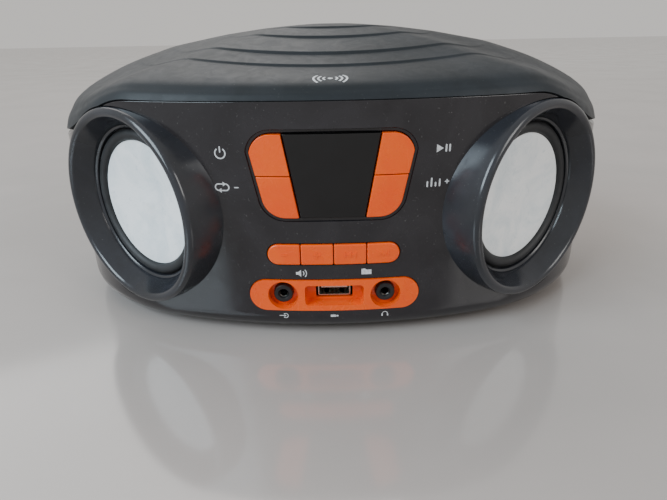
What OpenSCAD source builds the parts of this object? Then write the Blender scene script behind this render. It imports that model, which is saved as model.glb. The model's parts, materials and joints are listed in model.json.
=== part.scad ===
// Small oval portable player: radio, memory-stick and wireless music, two full-range speakers.
// Front faces -Y, +Z is up, and the origin is on the ground under the middle of the whole object.

/* [Body] */
// Width of the oval body
body_w = 264; // [252:1:300]
// Depth of the oval body, without speaker rims and aerial
body_d = 190; // [180:1:236]
// Radius of the front and rear faces, seen from above
face_r = 240; // [225:1:300]
// Height of the seam between cabinet and cover at the front
seam_z = 97.4; // [96:0.2:112]
// How far the seam drops towards the sides
seam_drop = 18.5; // [12:0.5:22]
// Height of the cover's crown
crown_z = 124.5; // [114:0.5:140]
// Wall of the cabinet shells
wall = 2.6; // [2:0.1:3]
// Rounding where the walls meet the floor
edge_r = 9; // [6:0.5:12]
// Height of the cabinet floor above the ground
foot_h = 3; // [2:0.5:6]

/* [Speakers] */
// Distance from a rim's centre to the side of the body
spk_edge = 45.4; // [44:0.2:52]
// Height of the speaker axes
spk_z = 53.6; // [52:0.2:56]
// Angle that each speaker faces outwards
spk_yaw = 36.3; // [32:0.1:38]
// Outer radius of the speaker rim
rim_r = 41.4; // [40:0.1:42]
// Length of the rim's tube
rim_len = 22; // [20:0.5:24]
// Radius of the visible cone
cone_r = 27; // [24:0.5:27.5]
// Cone travel each way
cone_travel = 1.5; // [0.5:0.1:1.8]

/* [Controls] */
// Half width of the display window at its top
window_top = 18; // [16:0.5:19]
// Half width of the display window at its bottom
window_bottom = 12.4; // [11:0.2:14]
// Lower edge of the display group
group_z0 = 54.2; // [53:0.2:56]
// Upper edge of the display group
group_z1 = 86; // [84:0.5:87]
// Height at which the side keys are split
split_z = 70.6; // [68:0.2:72]
// Centre height of the row of small keys
row_z = 38.8; // [38:0.2:41]
// Height of the small keys
row_h = 8.6; // [7:0.2:9]
// Half length of the row of small keys
row_half = 26.3; // [24:0.1:28]
// Key travel
key_travel = 0.6; // [0.3:0.05:0.8]
// Clearance around each key
key_gap = 0.35; // [0.2:0.05:0.5]

/* [Sockets] */
// Centre height of the socket plate
plate_z = 20.6; // [19.6:0.2:21.6]
// Height of the socket plate
plate_h = 13.8; // [13.4:0.2:15]
// Half length of the socket plate
plate_half = 34.8; // [34:0.2:38]
// Distance of each headphone-type socket from the middle
jack_x = 21; // [20:0.1:22]
// Radius of the headphone-type socket bore
jack_bore_r = 1.8; // [1.75:0.05:1.9]
// Radius of the power inlet bore
inlet_bore_r = 2.85; // [2.75:0.05:3]

/* [Batteries and aerial] */
// Radius of a battery cell
cell_r = 13; // [12.5:0.1:13.2]
// Length of a battery cell
cell_len = 50; // [49:0.5:51]
// Outer radius of the aerial's first tube
aerial_r = 2.9; // [2.6:0.1:3.2]
// Length of the aerial's first tube
aerial_len = 108; // [80:1:112]
// Extension of each aerial section
aerial_throw = 95; // [60:1:98]

/* [Hidden] */
$fn = 64;
eps = 0.01;

// Colours
gloss_black = "#1b1c1f";
satin_black = "#2a2b2e";
cover_grey = "#4f5254";
orange = "#d8652a";
board_green = "#1f5a3a";
steel = "#b9bcc0";

// Plan of the body: four tangent arcs, two long faces and two ends
half_w = body_w / 2;
half_d = body_d / 2;
face_back = face_r - half_d;
end_r = (face_r * face_r - half_w * half_w - face_back * face_back) / (2 * (face_r - half_w));
end_x = half_w - end_r;
end_turn = asin(end_x / (face_r - end_r));
end_steps = 24;
face_steps = 14;

// Speaker axis
spk_x = half_w - spk_edge;
spk_in = 0.7;
spk_dep = face_r - sqrt(face_r * face_r - spk_x * spk_x) - spk_in;
lip_r = 2.2;
rim_gap = 0.3;
collar_r = rim_r + 1.8;
collar_len = rim_len + 2.5;
collar_lip = 2.1;
horn_z = -12;
horn_r = 32.2;
rim_wall = 2.5;
flange_r = rim_r - rim_wall - 0.3;
flange_t = 1.5;
screw_circle = 35.6;

// Aerial and how far it and the rims stand out of the oval
knuckle_r = aerial_r + 0.3;
aerial_gap = 1.3;
aerial_out = aerial_gap + aerial_r;
rim_proud = (rim_r - lip_r) * sin(spk_yaw) + lip_r - spk_dep - lip_r * cos(spk_yaw);
aerial_proud = aerial_out + knuckle_r;

// Y positions: middle of the oval, front face and rear face
mid_y = (rim_proud - aerial_proud) / 2;
front_y = mid_y - half_d;
rear_y = mid_y + half_d;

// Seam between the cabinets and the cover
seam_gap = 0.3;
seam_start = half_w - 54;
seam_run = 48;
seam_side = seam_z - seam_drop;
seam_steps = 12;

// Cover rings from its edge to its crown: size as a share of the body's plan, then the height at the
// sides and at the front as shares of the rise from the seam to the crown. Steps edge four oval tiers.
COVER = [
    [1.000, 0.066, -0.015], [0.985, 0.198, 0.077], [0.969, 0.275, 0.133], [0.935, 0.374, 0.200],
    [0.892, 0.455, 0.244], [0.830, 0.549, 0.295], [0.762, 0.637, 0.328], [0.720, 0.683, 0.343],
    [0.705, 0.698, 0.395], [0.600, 0.793, 0.509], [0.583, 0.806, 0.568], [0.400, 0.901, 0.760],
    [0.386, 0.908, 0.815], [0.250, 0.958, 0.915], [0.237, 0.963, 0.963], [0.100, 0.995, 0.995],
    [0.010, 1.000, 1.000]];
cover_low = seam_side - 8;

// Depths behind the front face
key_proud = 1.0;
key_depth = 6;
key_lip = 1.2;
stem_r = 1.6;
key_board_y = front_y + 14.5;
board_t = 1.6;
switch_w = 6;
switch_h = 3.4;
plunger_h = 1.2;
plunger_r = 1.7;
press_gap = key_travel + 0.15;
window_t = 2.4;
window_gap = 0.5;
corner_r = 8;
foot_r = 9;
group_half = window_top + 12.6;
group_foot = window_bottom + 14.6;
key_posts = [[-34, 33], [34, 33], [-34, 87], [34, 87]];
key_centres = [[group_half - 6.2, 78], [group_half - 8.4, 62.5]];
row_pitch = row_half / 2;

// Socket plate
plate_proud = 0.6;
plate_depth = 7.4;
jack_pocket_r = 6.2;
jack_pocket_d = 3.6;
jack_nose_r = 4;
jack_body = 11;
jack_len = 15;
usb_pocket_w = 24;
usb_pocket_h = 9;
usb_pocket_d = 5.4;
usb_w = 13.6;
usb_h = 6;
usb_wall = 0.5;
usb_len = 14;

// Main board
main_z = plate_z - jack_body / 2 - 0.2 - board_t;
main_x = 42;
main_y0 = front_y + 11;
main_y1 = front_y + 76;
main_posts = [for (x = [-38, 38]) for (y = [main_y0 + 10, main_y1 - 5]) [x, y]];

// Battery compartment behind a door in the rear wall
box_wall = 1.6;
cell_gap = 0.4;
box_x = cell_len + 6;
box_z0 = foot_h + wall + 2;
box_z1 = box_z0 + 2 * (2 * cell_r + cell_gap) + cell_gap + 2 * box_wall;
box_y1 = mid_y - face_back + sqrt(face_r * face_r - box_x * box_x) - wall - 1.9;
box_y0 = box_y1 - 2 * cell_r - 2 * cell_gap - box_wall;
door_x = box_x - 4;
door_z0 = box_z0 + 3;
door_z1 = box_z1 - 3;
door_gap = 0.4;

// Fastener posts that join the two cabinets
post_x = half_w - 24;
post_r = 5;
post_len = 14;
post_zs = [24, 68];
well_r = 3.4;
screw_r = 1.4;
screw_head_r = 2.9;
screw_head_h = 2;
screw_gap = 0.15;

// Power inlet and aerial pivot
inlet_x = half_w - 46;
inlet_z = 26;
inlet_floor_y = mid_y + 71;
inlet_pocket_r = 7.4;
inlet_nose_r = 4;
inlet_len = 11;
inlet_pin_r = 1;
pivot_x = 56 - half_w;
pivot_z = seam_z - 12.4;
pivot_y = rear_y + aerial_out;
pivot_base_y = rear_y - 0.8;
pivot_base_t = 1.5;
pivot_boss_r = 7;
pivot_shaft_r = 2.5;
pivot_pin_r = 1.25;
fit = 0.05;
tongue_t = 3.6;
ear_t = 1.5;
tube_wall = 0.4;
tube_fit = 0.08;
section_start = aerial_len - aerial_throw - 6;

// ---------- helpers ----------

function mix(a, b, t) = a + (b - a) * t;
function smooth(t) = t <= 0 ? 0 : t >= 1 ? 1 : t * t * (3 - 2 * t);
function arc(x, y, r, from, to, steps) =
    [for (i = [0:steps]) let (a = mix(from, to, i / steps)) [x + r * cos(a), y + r * sin(a)]];
function open_arc(x, y, r, from, to, steps) =
    [for (i = [0:steps - 1]) let (a = mix(from, to, i / steps)) [x + r * cos(a), y + r * sin(a)]];

// Points of the body's plan, drawn in by inset, anticlockwise from the right-hand front
function plan(inset) = concat(
    open_arc(end_x, 0, end_r - inset, end_turn - 90, 90 - end_turn, end_steps),
    open_arc(0, -face_back, face_r - inset, 90 - end_turn, 90 + end_turn, face_steps),
    open_arc(-end_x, 0, end_r - inset, 90 + end_turn, 270 - end_turn, end_steps),
    open_arc(0, face_back, face_r - inset, 270 - end_turn, 270 + end_turn, face_steps));
function flat_ring(inset, z) = [for (p = plan(inset)) [p.x, p.y + mid_y, z]];

// A cover ring: its height runs from the front value to the side value along the width
function cover_ring(row, shrink, drop) = let (k = row[0] - shrink)
    [for (p = plan(0)) let (w = p.x * p.x / (half_w * half_w))
        [k * p.x, k * p.y + mid_y, mix(seam_at(p.x), crown_z, mix(row[2], row[1], w)) - drop]];

function seam_at(x) = seam_z - seam_drop * smooth((abs(x) - seam_start) / seam_run);

// A closed solid through rings of equal length, lowest first
module loft(rings) {
    n = len(rings[0]);
    last = len(rings) - 1;
    polyhedron(
        points = [for (ring = rings) each ring],
        faces = concat(
            [[for (i = [0:n - 1]) i]],
            [for (j = [0:last - 1]) for (i = [0:n - 1])
                [j * n + i, (j + 1) * n + i, (j + 1) * n + (i + 1) % n]],
            [for (j = [0:last - 1]) for (i = [0:n - 1])
                [j * n + i, (j + 1) * n + (i + 1) % n, j * n + (i + 1) % n]],
            [[for (i = [0:n - 1]) last * n + n - 1 - i]]),
        convexity = 6);
}

// Everything below the seam, or above it
module below_seam(gap) {
    reach = half_w + 20;
    translate([0, rear_y + 40, 0]) rotate([90, 0, 0]) linear_extrude(body_d + 80)
        polygon(concat([[-reach, -1], [reach, -1], [reach, seam_side - gap]],
            [for (i = [seam_steps:-1:0])
                let (x = seam_start + seam_run * i / seam_steps) [x, seam_at(x) - gap]],
            [for (i = [0:seam_steps]) let (x = seam_start + seam_run * i / seam_steps) [-x, seam_at(x) - gap]],
            [[-reach, seam_side - gap]]));
}

// The cabinet's outer or inner form, with its rounded lower edge
module cabinet_form(inset, floor_z, top) {
    r = edge_r - inset / 2;
    loft(concat(
        [for (a = [0:18:90]) flat_ring(inset + r * (1 - sin(a)), floor_z + r * (1 - cos(a)))],
        [flat_ring(inset, top)]));
}

module cabinet_shell() {
    difference() {
        intersection() {
            cabinet_form(0, foot_h, seam_z + 1);
            below_seam(0);
        }
        cabinet_form(wall, foot_h + wall, seam_z + 9);
    }
}

module half_space(front) {
    translate([-body_w, front ? mid_y - body_d : mid_y, -1]) cube([2 * body_w, body_d, 2 * crown_z]);
}

// Children stand on a speaker's axis: local +Z points out of the speaker, and 0 is the rim's plane
module at_speaker(side) {
    translate([side * spk_x, front_y + spk_dep, spk_z])
        rotate([0, 0, side * spk_yaw]) rotate([90, 0, 0]) children();
}

// A tube along Z
module tube(r_out, r_in, from, to) {
    translate([0, 0, from]) difference() {
        cylinder(r = r_out, h = to - from);
        translate([0, 0, -1]) cylinder(r = r_in, h = to - from + 2);
    }
}

module rod(r, from, to) {
    translate([0, 0, from]) cylinder(r = r, h = to - from);
}

// A cylinder along Y between two Y positions
module rod_y(x, z, r, from, to) {
    translate([x, to, z]) rotate([90, 0, 0]) cylinder(r = r, h = to - from);
}

// A flat shape in X and Z, made a slice of the curved front face, from proud of it to deep behind it
module face_piece(proud, deep) {
    intersection() {
        translate([0, front_y + face_r, 0]) difference() {
            cylinder(r = face_r + proud, h = seam_z, $fn = 360);
            translate([0, 0, -1]) cylinder(r = face_r - deep, h = seam_z + 2, $fn = 360);
        }
        face_prism(10, 40) children();
    }
}

// A flat shape in X and Z, extruded from ahead of the front face to behind it
module face_prism(ahead, behind) {
    translate([0, front_y + behind, 0]) rotate([90, 0, 0]) linear_extrude(ahead + behind) children();
}

// ---------- outlines on the front face ----------

module stadium(half, height) {
    r = height / 2;
    square([2 * (half - r), height], center = true);
    for (s = [-1, 1]) translate([s * (half - r), 0]) circle(r);
}

// Outline of the display and its four keys, grown on every side
module group_shape(grow) {
    right = concat(
        arc(group_half - corner_r, group_z1 - corner_r, corner_r + grow, 90, 10, 8),
        arc(group_foot - foot_r, group_z0 + foot_r, foot_r + grow, -16, -90, 8));
    polygon(concat(right, [for (i = [len(right) - 1:-1:0]) [-right[i].x, right[i].y]]));
}

// Outline of the display window, grown on every side
module window_shape(grow) {
    polygon([[-window_top - grow, group_z1 + grow], [window_top + grow, group_z1 + grow],
        [window_bottom + grow, group_z0 - grow], [-window_bottom - grow, group_z0 - grow]]);
}

// Outline of a side key. side is -1 or 1, upper picks the key above the split
module side_key_shape(side, upper, grow) {
    gap = key_gap / 2 - grow;
    difference() {
        intersection() {
            group_shape(grow);
            translate([side > 0 ? 0 : -body_w, upper ? split_z + gap : -gap])
                square([body_w, upper ? crown_z : split_z]);
        }
        window_shape(window_gap - grow);
    }
}

module row_shape(grow) {
    translate([0, row_z]) stadium(row_half + grow, row_h + 2 * grow);
}

// Outline of one small key, counted from the left
module row_key_shape(index, grow) {
    gap = key_gap / 2 - grow;
    x0 = (index - 2) * row_pitch;
    intersection() {
        row_shape(grow);
        translate([x0 + (index == 0 ? -1 : gap), row_z - row_h])
            square([row_pitch - (index == 0 ? gap - 1 : index == 3 ? gap - 1 : 2 * gap), 2 * row_h]);
    }
}

module plate_shape(grow) {
    translate([0, plate_z]) stadium(plate_half + grow, plate_h + 2 * grow);
}

// ---------- cabinet and cover ----------

module front_cabinet() {
    lip_y = front_y + wall;
    color(gloss_black) difference() {
        intersection() {
            union() {
                intersection() {
                    cabinet_shell();
                    half_space(true);
                }
                intersection() {
                    cabinet_form(wall / 2, foot_h + wall / 2, seam_z + 1);
                    union() {
                        for (side = [-1, 1]) at_speaker(side) {
                            tube(collar_r, rim_r + rim_gap, -collar_len, 10);
                            tube(collar_r, rim_r - collar_lip, -collar_len, -rim_len - rim_gap);
                        }
                        for (p = key_posts) rod_y(p.x, p.y, 3, front_y, key_board_y);
                        for (p = main_posts) translate([p.x, p.y, 0]) rod(3, foot_h, main_z);
                        for (side = [-1, 1]) for (z = post_zs) {
                            rod_y(side * post_x, z, post_r, mid_y - post_len, mid_y);
                            translate([side > 0 ? post_x : -half_w, mid_y - post_len, z - 1])
                                cube([half_w - post_x, post_len, 2]);
                        }
                    }
                }
            }
            below_seam(0);
        }
        for (side = [-1, 1]) at_speaker(side) {
            rod(rim_r + rim_gap, -rim_len - rim_gap, 40);
            rod(rim_r - collar_lip, -collar_len - 20, 0);
        }
        face_piece(5, 0.8) group_shape(1.6);
        face_prism(5, wall + 3) group_shape(key_gap);
        face_prism(5, wall + 3) row_shape(key_gap);
        face_prism(5, wall + 3) plate_shape(0.1);
        for (p = key_posts) rod_y(p.x, p.y, screw_r, key_board_y - 8, key_board_y + 1);
        for (p = main_posts) translate([p.x, p.y, 0]) rod(screw_r, main_z - 6, main_z + 1);
        for (side = [-1, 1]) for (z = post_zs)
            rod_y(side * post_x, z, screw_r, mid_y - post_len + 2, mid_y + 1);
    }
}

module rear_cabinet() {
    color(satin_black) difference() {
        intersection() {
            union() {
                intersection() {
                    cabinet_shell();
                    half_space(false);
                }
                intersection() {
                    cabinet_form(wall / 2, foot_h + wall / 2, seam_z + 1);
                    union() {
                        for (side = [-1, 1]) for (z = post_zs) {
                            rod_y(side * post_x, z, post_r, mid_y, rear_y);
                            translate([side > 0 ? post_x : -half_w, mid_y, z - 1])
                                cube([half_w - post_x, body_d / 4, 2]);
                        }
                        rod_y(inlet_x, inlet_z, inlet_pocket_r + 1.6, inlet_floor_y - 2, rear_y);
                    }
                }
                rod_y(pivot_x, pivot_z, pivot_boss_r, rear_y - 24, pivot_base_y);
                translate([aerial_len + pivot_x - 22, rear_y - 6, pivot_z - aerial_r - 2.2])
                    cube([6, 6 + aerial_out + aerial_r, 2]);
            }
            union() {
                below_seam(0);
                translate([pivot_x - 10, mid_y, 0]) cube([20, body_d, seam_z]);
            }
        }
        for (side = [-1, 1]) for (z = post_zs) {
            rod_y(side * post_x, z, well_r, mid_y + 4, rear_y);
            rod_y(side * post_x, z, screw_r + screw_gap, mid_y - 1, mid_y + 5);
        }
        rod_y(inlet_x, inlet_z, inlet_pocket_r, inlet_floor_y, rear_y);
        rod_y(inlet_x, inlet_z, inlet_nose_r + 0.1, inlet_floor_y - 3, inlet_floor_y + 1);
        rod_y(pivot_x, pivot_z, pivot_shaft_r + fit, rear_y - 30, rear_y);
        rear_window(0);
    }
}

// The opening for the battery door, drawn in by inset
module rear_window(inset) {
    translate([-door_x + inset, box_y1 - 4, door_z0 + inset])
        cube([2 * (door_x - inset), rear_y - box_y1 + 10, door_z1 - door_z0 - 2 * inset]);
}

module top_cover() {
    color(cover_grey) difference() {
        loft(concat([flat_ring(0, cover_low)], [for (row = COVER) cover_ring(row, 0, 0)]));
        loft(concat([flat_ring(wall, cover_low - 1)],
            [for (i = [1:3:len(COVER) - 2]) cover_ring(COVER[i], wall / half_w, wall + 0.6)]));
        below_seam(-seam_gap);
        for (side = [-1, 1]) at_speaker(side) rod(rim_r + rim_gap, -collar_len, 40);
    }
}

// ---------- speakers ----------

// Rim with a rounded lip, a cone-shaped inner wall and a ring that the driver seats on
module bezel(side) {
    color(gloss_black) at_speaker(side) difference() {
        rotate_extrude($fn = 128) polygon(concat(
            [[rim_r, -rim_len], [rim_r, -lip_r]],
            arc(rim_r - lip_r, -lip_r, lip_r, 0, 150, 10),
            [[horn_r + 1, horn_z + 4], [horn_r + 1, horn_z + 3], [horn_r, horn_z + 3], [horn_r, horn_z],
             [rim_r - rim_wall, horn_z], [rim_r - rim_wall, -rim_len]]));
        for (a = [45:90:315]) rotate(a) translate([screw_circle, 0, 0]) rod(screw_r, horn_z - 1, horn_z + 5.5);
    }
}

// Pressed frame: flange, four legs and the seat of the magnet
module basket(side) {
    seat = horn_z - 18;
    color(satin_black) at_speaker(side) {
        difference() {
            tube(flange_r, cone_r + 4.6, horn_z - flange_t, horn_z);
            for (a = [45:90:315])
                rotate(a) translate([screw_circle, 0, 0]) rod(screw_r + screw_gap, horn_z - 9, horn_z + 1);
        }
        tube(24, 12.5, seat - 1.2, seat);
        for (a = [0:90:270]) rotate(a) rotate([90, 0, 0]) translate([0, 0, -5]) linear_extrude(10)
            polygon([[flange_r - 1, horn_z - flange_t], [cone_r + 4.6, horn_z - flange_t], [22, seat],
                [22, seat - 1.2], [24, seat - 1.2]]);
    }
}

// Ring magnet between two steel plates, with the centre pole
module magnet(side) {
    top = horn_z - 18 - 1.2;
    color(steel) at_speaker(side) {
        tube(20, 10.6, top - 3, top);
        tube(22, 11.6, top - 11, top - 3);
        rod(20, top - 14, top - 11);
        rod(9, top - 11, top + 1);
    }
}

// Thin shallow dish with a raised middle, glued to the voice coil behind it
module speaker_cone(side) {
    t = 0.6;
    edge_z = horn_z + 1.2;
    outline = [for (i = [0:12]) let (u = i / 12)
        [cone_r * u, edge_z - 2.6 * (1 - u * u) * (1 - u * u) + 1.4 * pow(1 - u, 3)]];
    color("#eef2f4") at_speaker(side) rotate_extrude($fn = 128)
        polygon(concat(outline, [for (i = [12:-1:0]) [outline[i].x, outline[i].y - t]]));
}

module voice_coil(side) {
    color("#b5651d") at_speaker(side) tube(10.1, 9.5, horn_z - 22.5 - cone_travel, horn_z - 1.6);
}

// Rolled edge between the cone and the frame
module surround(side) {
    t = 0.4;
    outer_r = horn_r - 0.2;
    roll = (outer_r - cone_r - 0.4) / 2 - t;
    mid_r = outer_r - roll - t;
    seat_z = horn_z + 0.3;
    color("#202124") at_speaker(side) rotate_extrude($fn = 128) polygon(concat(
        [[cone_r - 0.6, horn_z + 0.15], [cone_r - 0.6, horn_z + 0.55]],
        arc(mid_r, seat_z, roll + t, 174, 0, 16),
        [[outer_r, horn_z], [outer_r - t, horn_z]],
        arc(mid_r, seat_z, roll, 0, 180, 16),
        [[mid_r - roll, horn_z + 0.15]]));
}

// Corrugated disc that centres the coil
module spider(side) {
    t = 0.4;
    seat = horn_z - 18;
    wave = [for (i = [0:24]) let (u = i / 24) [mix(10.3, 21.5, u), seat + 1 + 0.5 * sin(u * 4 * 360)]];
    color("#c9a24a") at_speaker(side) rotate_extrude() polygon(concat(
        wave, [[21.9, seat + 1], [21.9, seat], [21.3, seat]],
        [for (i = [23:-1:0]) [wave[i].x, wave[i].y - t]]));
}

module speaker_screws() {
    color(steel) for (side = [-1, 1]) at_speaker(side)
        for (a = [45:90:315]) rotate(a) translate([screw_circle, 0, 0]) {
            rod(screw_r - 0.02, horn_z - flange_t - 1, horn_z + 5);
            rod(2.6, horn_z - flange_t - 1.8, horn_z - flange_t - 0.02);
        }
}

// ---------- display and keys ----------

module display_window() {
    color([0.12, 0.12, 0.13, 0.85]) face_piece(0.2, window_t) window_shape(0);
}

// Tray that carries the window and shades the display behind it
module display_frame() {
    color(satin_black) intersection() {
        face_prism(0, key_board_y - front_y) difference() {
            window_shape(0);
            window_shape(-1.2);
        }
        translate([0, front_y + face_r, 0]) cylinder(r = face_r - window_t - 0.02, h = seam_z, $fn = 360);
    }
}

module lcd_module() {
    color("#3a4a40") translate([1.8 - window_bottom, front_y + 5, group_z0 + 3])
        cube([2 * window_bottom - 3.6, 4, group_z1 - group_z0 - 6]);
}

// The part of every key behind the face: a stem that reaches its switch
module key_stem(x, z) {
    rod_y(x, z, stem_r, front_y + key_depth - 1, key_board_y - switch_h - plunger_h - press_gap);
}

// Side key with a retaining lip behind the cabinet wall, along its outer edge
module side_key(side, upper) {
    centre = key_centres[upper ? 0 : 1];
    color(orange) union() {
        face_piece(key_proud, key_depth) side_key_shape(side, upper, 0);
        face_piece(-wall - 0.1, wall + 1.3) difference() {
            intersection() {
                group_shape(key_gap + key_lip);
                translate([side > 0 ? group_foot - 3 : -body_w, upper ? split_z + key_gap / 2 : -key_gap / 2])
                    square([body_w - group_foot + 3, upper ? crown_z : split_z]);
            }
            window_shape(window_gap);
        }
        key_stem(side * centre.x, centre.y);
    }
}

// Small key with a lip above and below
module row_key(index) {
    lip_h = row_h + 2 * (key_gap + key_lip);
    color(orange) union() {
        face_piece(key_proud - 0.2, key_depth) row_key_shape(index, 0);
        face_piece(-wall - 0.1, wall + 1.3)
            translate([(index - 2) * row_pitch + key_gap / 2 + (index == 0 ? 3 : 0), row_z - lip_h / 2])
                square([row_pitch - key_gap - (index == 0 || index == 3 ? 3 : 0), lip_h]);
        key_stem((index - 1.5) * row_pitch, row_z);
    }
}

module key_power() side_key(-1, true);
module key_repeat() side_key(-1, false);
module key_play() side_key(1, true);
module key_equaliser() side_key(1, false);
module key_volume_down() row_key(0);
module key_volume_up() row_key(1);
module key_folder_back() row_key(2);
module key_folder_next() row_key(3);

module key_board() {
    color(board_green) difference() {
        translate([-38, key_board_y, 29]) cube([76, board_t, 62]);
        for (p = key_posts) rod_y(p.x, p.y, screw_r + screw_gap, key_board_y - 1, key_board_y + 3);
    }
}

// One push switch, drawn with its plunger where a pressed key leaves it
module push_switch(x, z) {
    translate([x - switch_w / 2, key_board_y - switch_h, z - switch_w / 2])
        cube([switch_w, switch_h, switch_w]);
    rod_y(x, z, plunger_r, key_board_y - switch_h - plunger_h, key_board_y - switch_h);
}

module key_switches() {
    color("#303030") {
        for (side = [-1, 1]) for (p = key_centres) push_switch(side * p.x, p.y);
        for (index = [0:3]) push_switch((index - 1.5) * row_pitch, row_z);
    }
}

// ---------- sockets ----------

module port_plate() {
    color(orange) difference() {
        intersection() {
            translate([0, front_y + face_r, 0]) cylinder(r = face_r + plate_proud, h = seam_z, $fn = 360);
            face_prism(10, plate_depth) plate_shape(0);
        }
        for (side = [-1, 1]) {
            rod_y(side * jack_x, plate_z, jack_pocket_r, front_y - 10, front_y + jack_pocket_d);
            rod_y(side * jack_x, plate_z, jack_nose_r + 0.1, front_y, front_y + plate_depth + 1);
        }
        translate([-usb_pocket_w / 2, front_y - 10, plate_z - usb_pocket_h / 2])
            cube([usb_pocket_w, 10 + usb_pocket_d, usb_pocket_h]);
        translate([-usb_w / 2 - 0.2, front_y, plate_z - usb_h / 2 - 0.2])
            cube([usb_w + 0.4, plate_depth + 1, usb_h + 0.4]);
    }
}

// Headphone-type socket on the main board, its nose in the plate
module jack(side) {
    body_y = front_y + plate_depth + 0.3;
    color(satin_black) difference() {
        union() {
            translate([side * jack_x - jack_body / 2, body_y, plate_z - jack_body / 2])
                cube([jack_body, jack_len - plate_depth + 2, jack_body]);
            rod_y(side * jack_x, plate_z, jack_nose_r, front_y + jack_pocket_d - 1.6, body_y + 1);
        }
        rod_y(side * jack_x, plate_z, jack_bore_r, front_y, front_y + jack_len);
    }
}
module aux_jack() jack(-1);
module phones_jack() jack(1);

// Memory-stick socket: folded steel shell and the contact tongue inside
module usb_port() {
    y0 = front_y + usb_pocket_d - 1;
    color(steel) {
        difference() {
            translate([-usb_w / 2, y0, plate_z - usb_h / 2]) cube([usb_w, usb_len, usb_h]);
            translate([usb_wall - usb_w / 2, y0 - 1, plate_z - usb_h / 2 + usb_wall])
                cube([usb_w - 2 * usb_wall, usb_len, usb_h - 2 * usb_wall]);
        }
        translate([-5.55, y0 + 1.2, plate_z + 0.2]) cube([11.1, usb_len - 2, 1.8]);
        for (x = [-5, 5]) translate([x - 1, y0 + 6, main_z + board_t])
            cube([2, 3, plate_z - usb_h / 2 - main_z - board_t]);
    }
}

// ---------- boards ----------

module main_board() {
    color(board_green) difference() {
        translate([-main_x, main_y0, main_z]) cube([2 * main_x, main_y1 - main_y0, board_t]);
        for (p = main_posts) translate([p.x, p.y, 0]) rod(screw_r + screw_gap, main_z - 1, main_z + 3);
    }
}

// Player processor and the two-channel amplifier with its cooling fin
module board_chips() {
    top = main_z + board_t;
    color("#202020") {
        translate([-8, main_y0 + 24, top]) cube([12, 12, 1.6]);
        translate([14, main_y0 + 26, top]) cube([10, 7, 1.8]);
        translate([-24, main_y0 + 44, top]) cube([16, 5, 12]);
    }
}

module capacitors() {
    top = main_z + board_t;
    color("#30364a") for (p = [[4, 44, 12], [14, 44, 12], [-32, 30, 9], [-32, 38, 9]])
        translate([p.x, main_y0 + p.y, 0]) rod(3.6, top, top + p.z);
}

// Small daughter board with the radio and wireless chips
module radio_module() {
    top = main_z + board_t;
    color("#245a8a") {
        translate([8, main_y0 + 12, top]) cube([24, 12, 1]);
        translate([11, main_y0 + 14, top + 1]) cube([6, 6, 1.2]);
        translate([21, main_y0 + 14, top + 1]) cube([8, 8, 1.4]);
    }
}

module board_screws() {
    color(steel) {
        for (p = key_posts) {
            rod_y(p.x, p.y, screw_r - 0.02, key_board_y - 6, key_board_y + board_t + 1);
            rod_y(p.x, p.y, 2.4, key_board_y + board_t + 0.02, key_board_y + board_t + 1.8);
        }
        for (p = main_posts) translate([p.x, p.y, 0]) {
            rod(screw_r - 0.02, main_z - 5, main_z + board_t + 1);
            rod(2.4, main_z + board_t + 0.02, main_z + board_t + 1.8);
        }
    }
}

// ---------- batteries and power ----------

module battery_box() {
    inner_x = box_x - box_wall;
    color(satin_black) difference() {
        translate([-box_x, box_y0, box_z0]) cube([2 * box_x, box_y1 - box_y0, box_z1 - box_z0]);
        translate([-inner_x, box_y0 + box_wall, box_z0 + box_wall])
            cube([2 * inner_x, box_y1 - box_y0, box_z1 - box_z0 - 2 * box_wall]);
    }
}

// Snap-in panel cut from the rear wall, with two ribs that press on the cells
module battery_door() {
    color(satin_black) union() {
        intersection() {
            cabinet_shell();
            rear_window(door_gap);
        }
        for (x = [-24, 24]) translate([x - 0.8, box_y1 + 0.4, door_z0 + 6])
            cube([1.6, rear_y - wall / 2 - box_y1 - 2.6, door_z1 - door_z0 - 12]);
    }
}

module cells() {
    color("#b8a060") for (row = [0, 1]) for (s = [-1, 1])
        translate([s * (cell_len / 2 + 0.2), box_y0 + box_wall + cell_gap + cell_r,
            box_z0 + box_wall + cell_gap + cell_r + row * (2 * cell_r + cell_gap)]) rotate([0, 90, 0]) {
            cylinder(r = cell_r, h = cell_len - 2, center = true);
            translate([0, 0, cell_len / 2 - 1]) cylinder(r = 3, h = 1);
        }
}

// Flat contact plates at the ends of the compartment, each with a coiled bump
module battery_contacts() {
    inner_x = box_x - box_wall;
    color(steel) for (row = [0, 1]) for (s = [-1, 1])
        translate([s * (inner_x - 0.3), box_y0 + box_wall + cell_gap + cell_r,
            box_z0 + box_wall + cell_gap + cell_r + row * (2 * cell_r + cell_gap)]) rotate([0, -s * 90, 0]) {
            translate([-8, -8, -0.25]) cube([16, 16, 0.5]);
            cylinder(r1 = 6, r2 = 3.5, h = 2.2);
        }
}

module dc_inlet() {
    color(satin_black) difference() {
        union() {
            translate([inlet_x - 5, inlet_floor_y - 2.3 - inlet_len, inlet_z - 5]) cube([10, inlet_len, 10]);
            rod_y(inlet_x, inlet_z, inlet_nose_r, inlet_floor_y - 3, inlet_floor_y + 0.4);
        }
        rod_y(inlet_x, inlet_z, inlet_bore_r, inlet_floor_y - 9.6, inlet_floor_y + 1);
    }
    color(steel) rod_y(inlet_x, inlet_z, inlet_pin_r, inlet_floor_y - 10, inlet_floor_y - 0.6);
}

// ---------- aerial ----------

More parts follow.
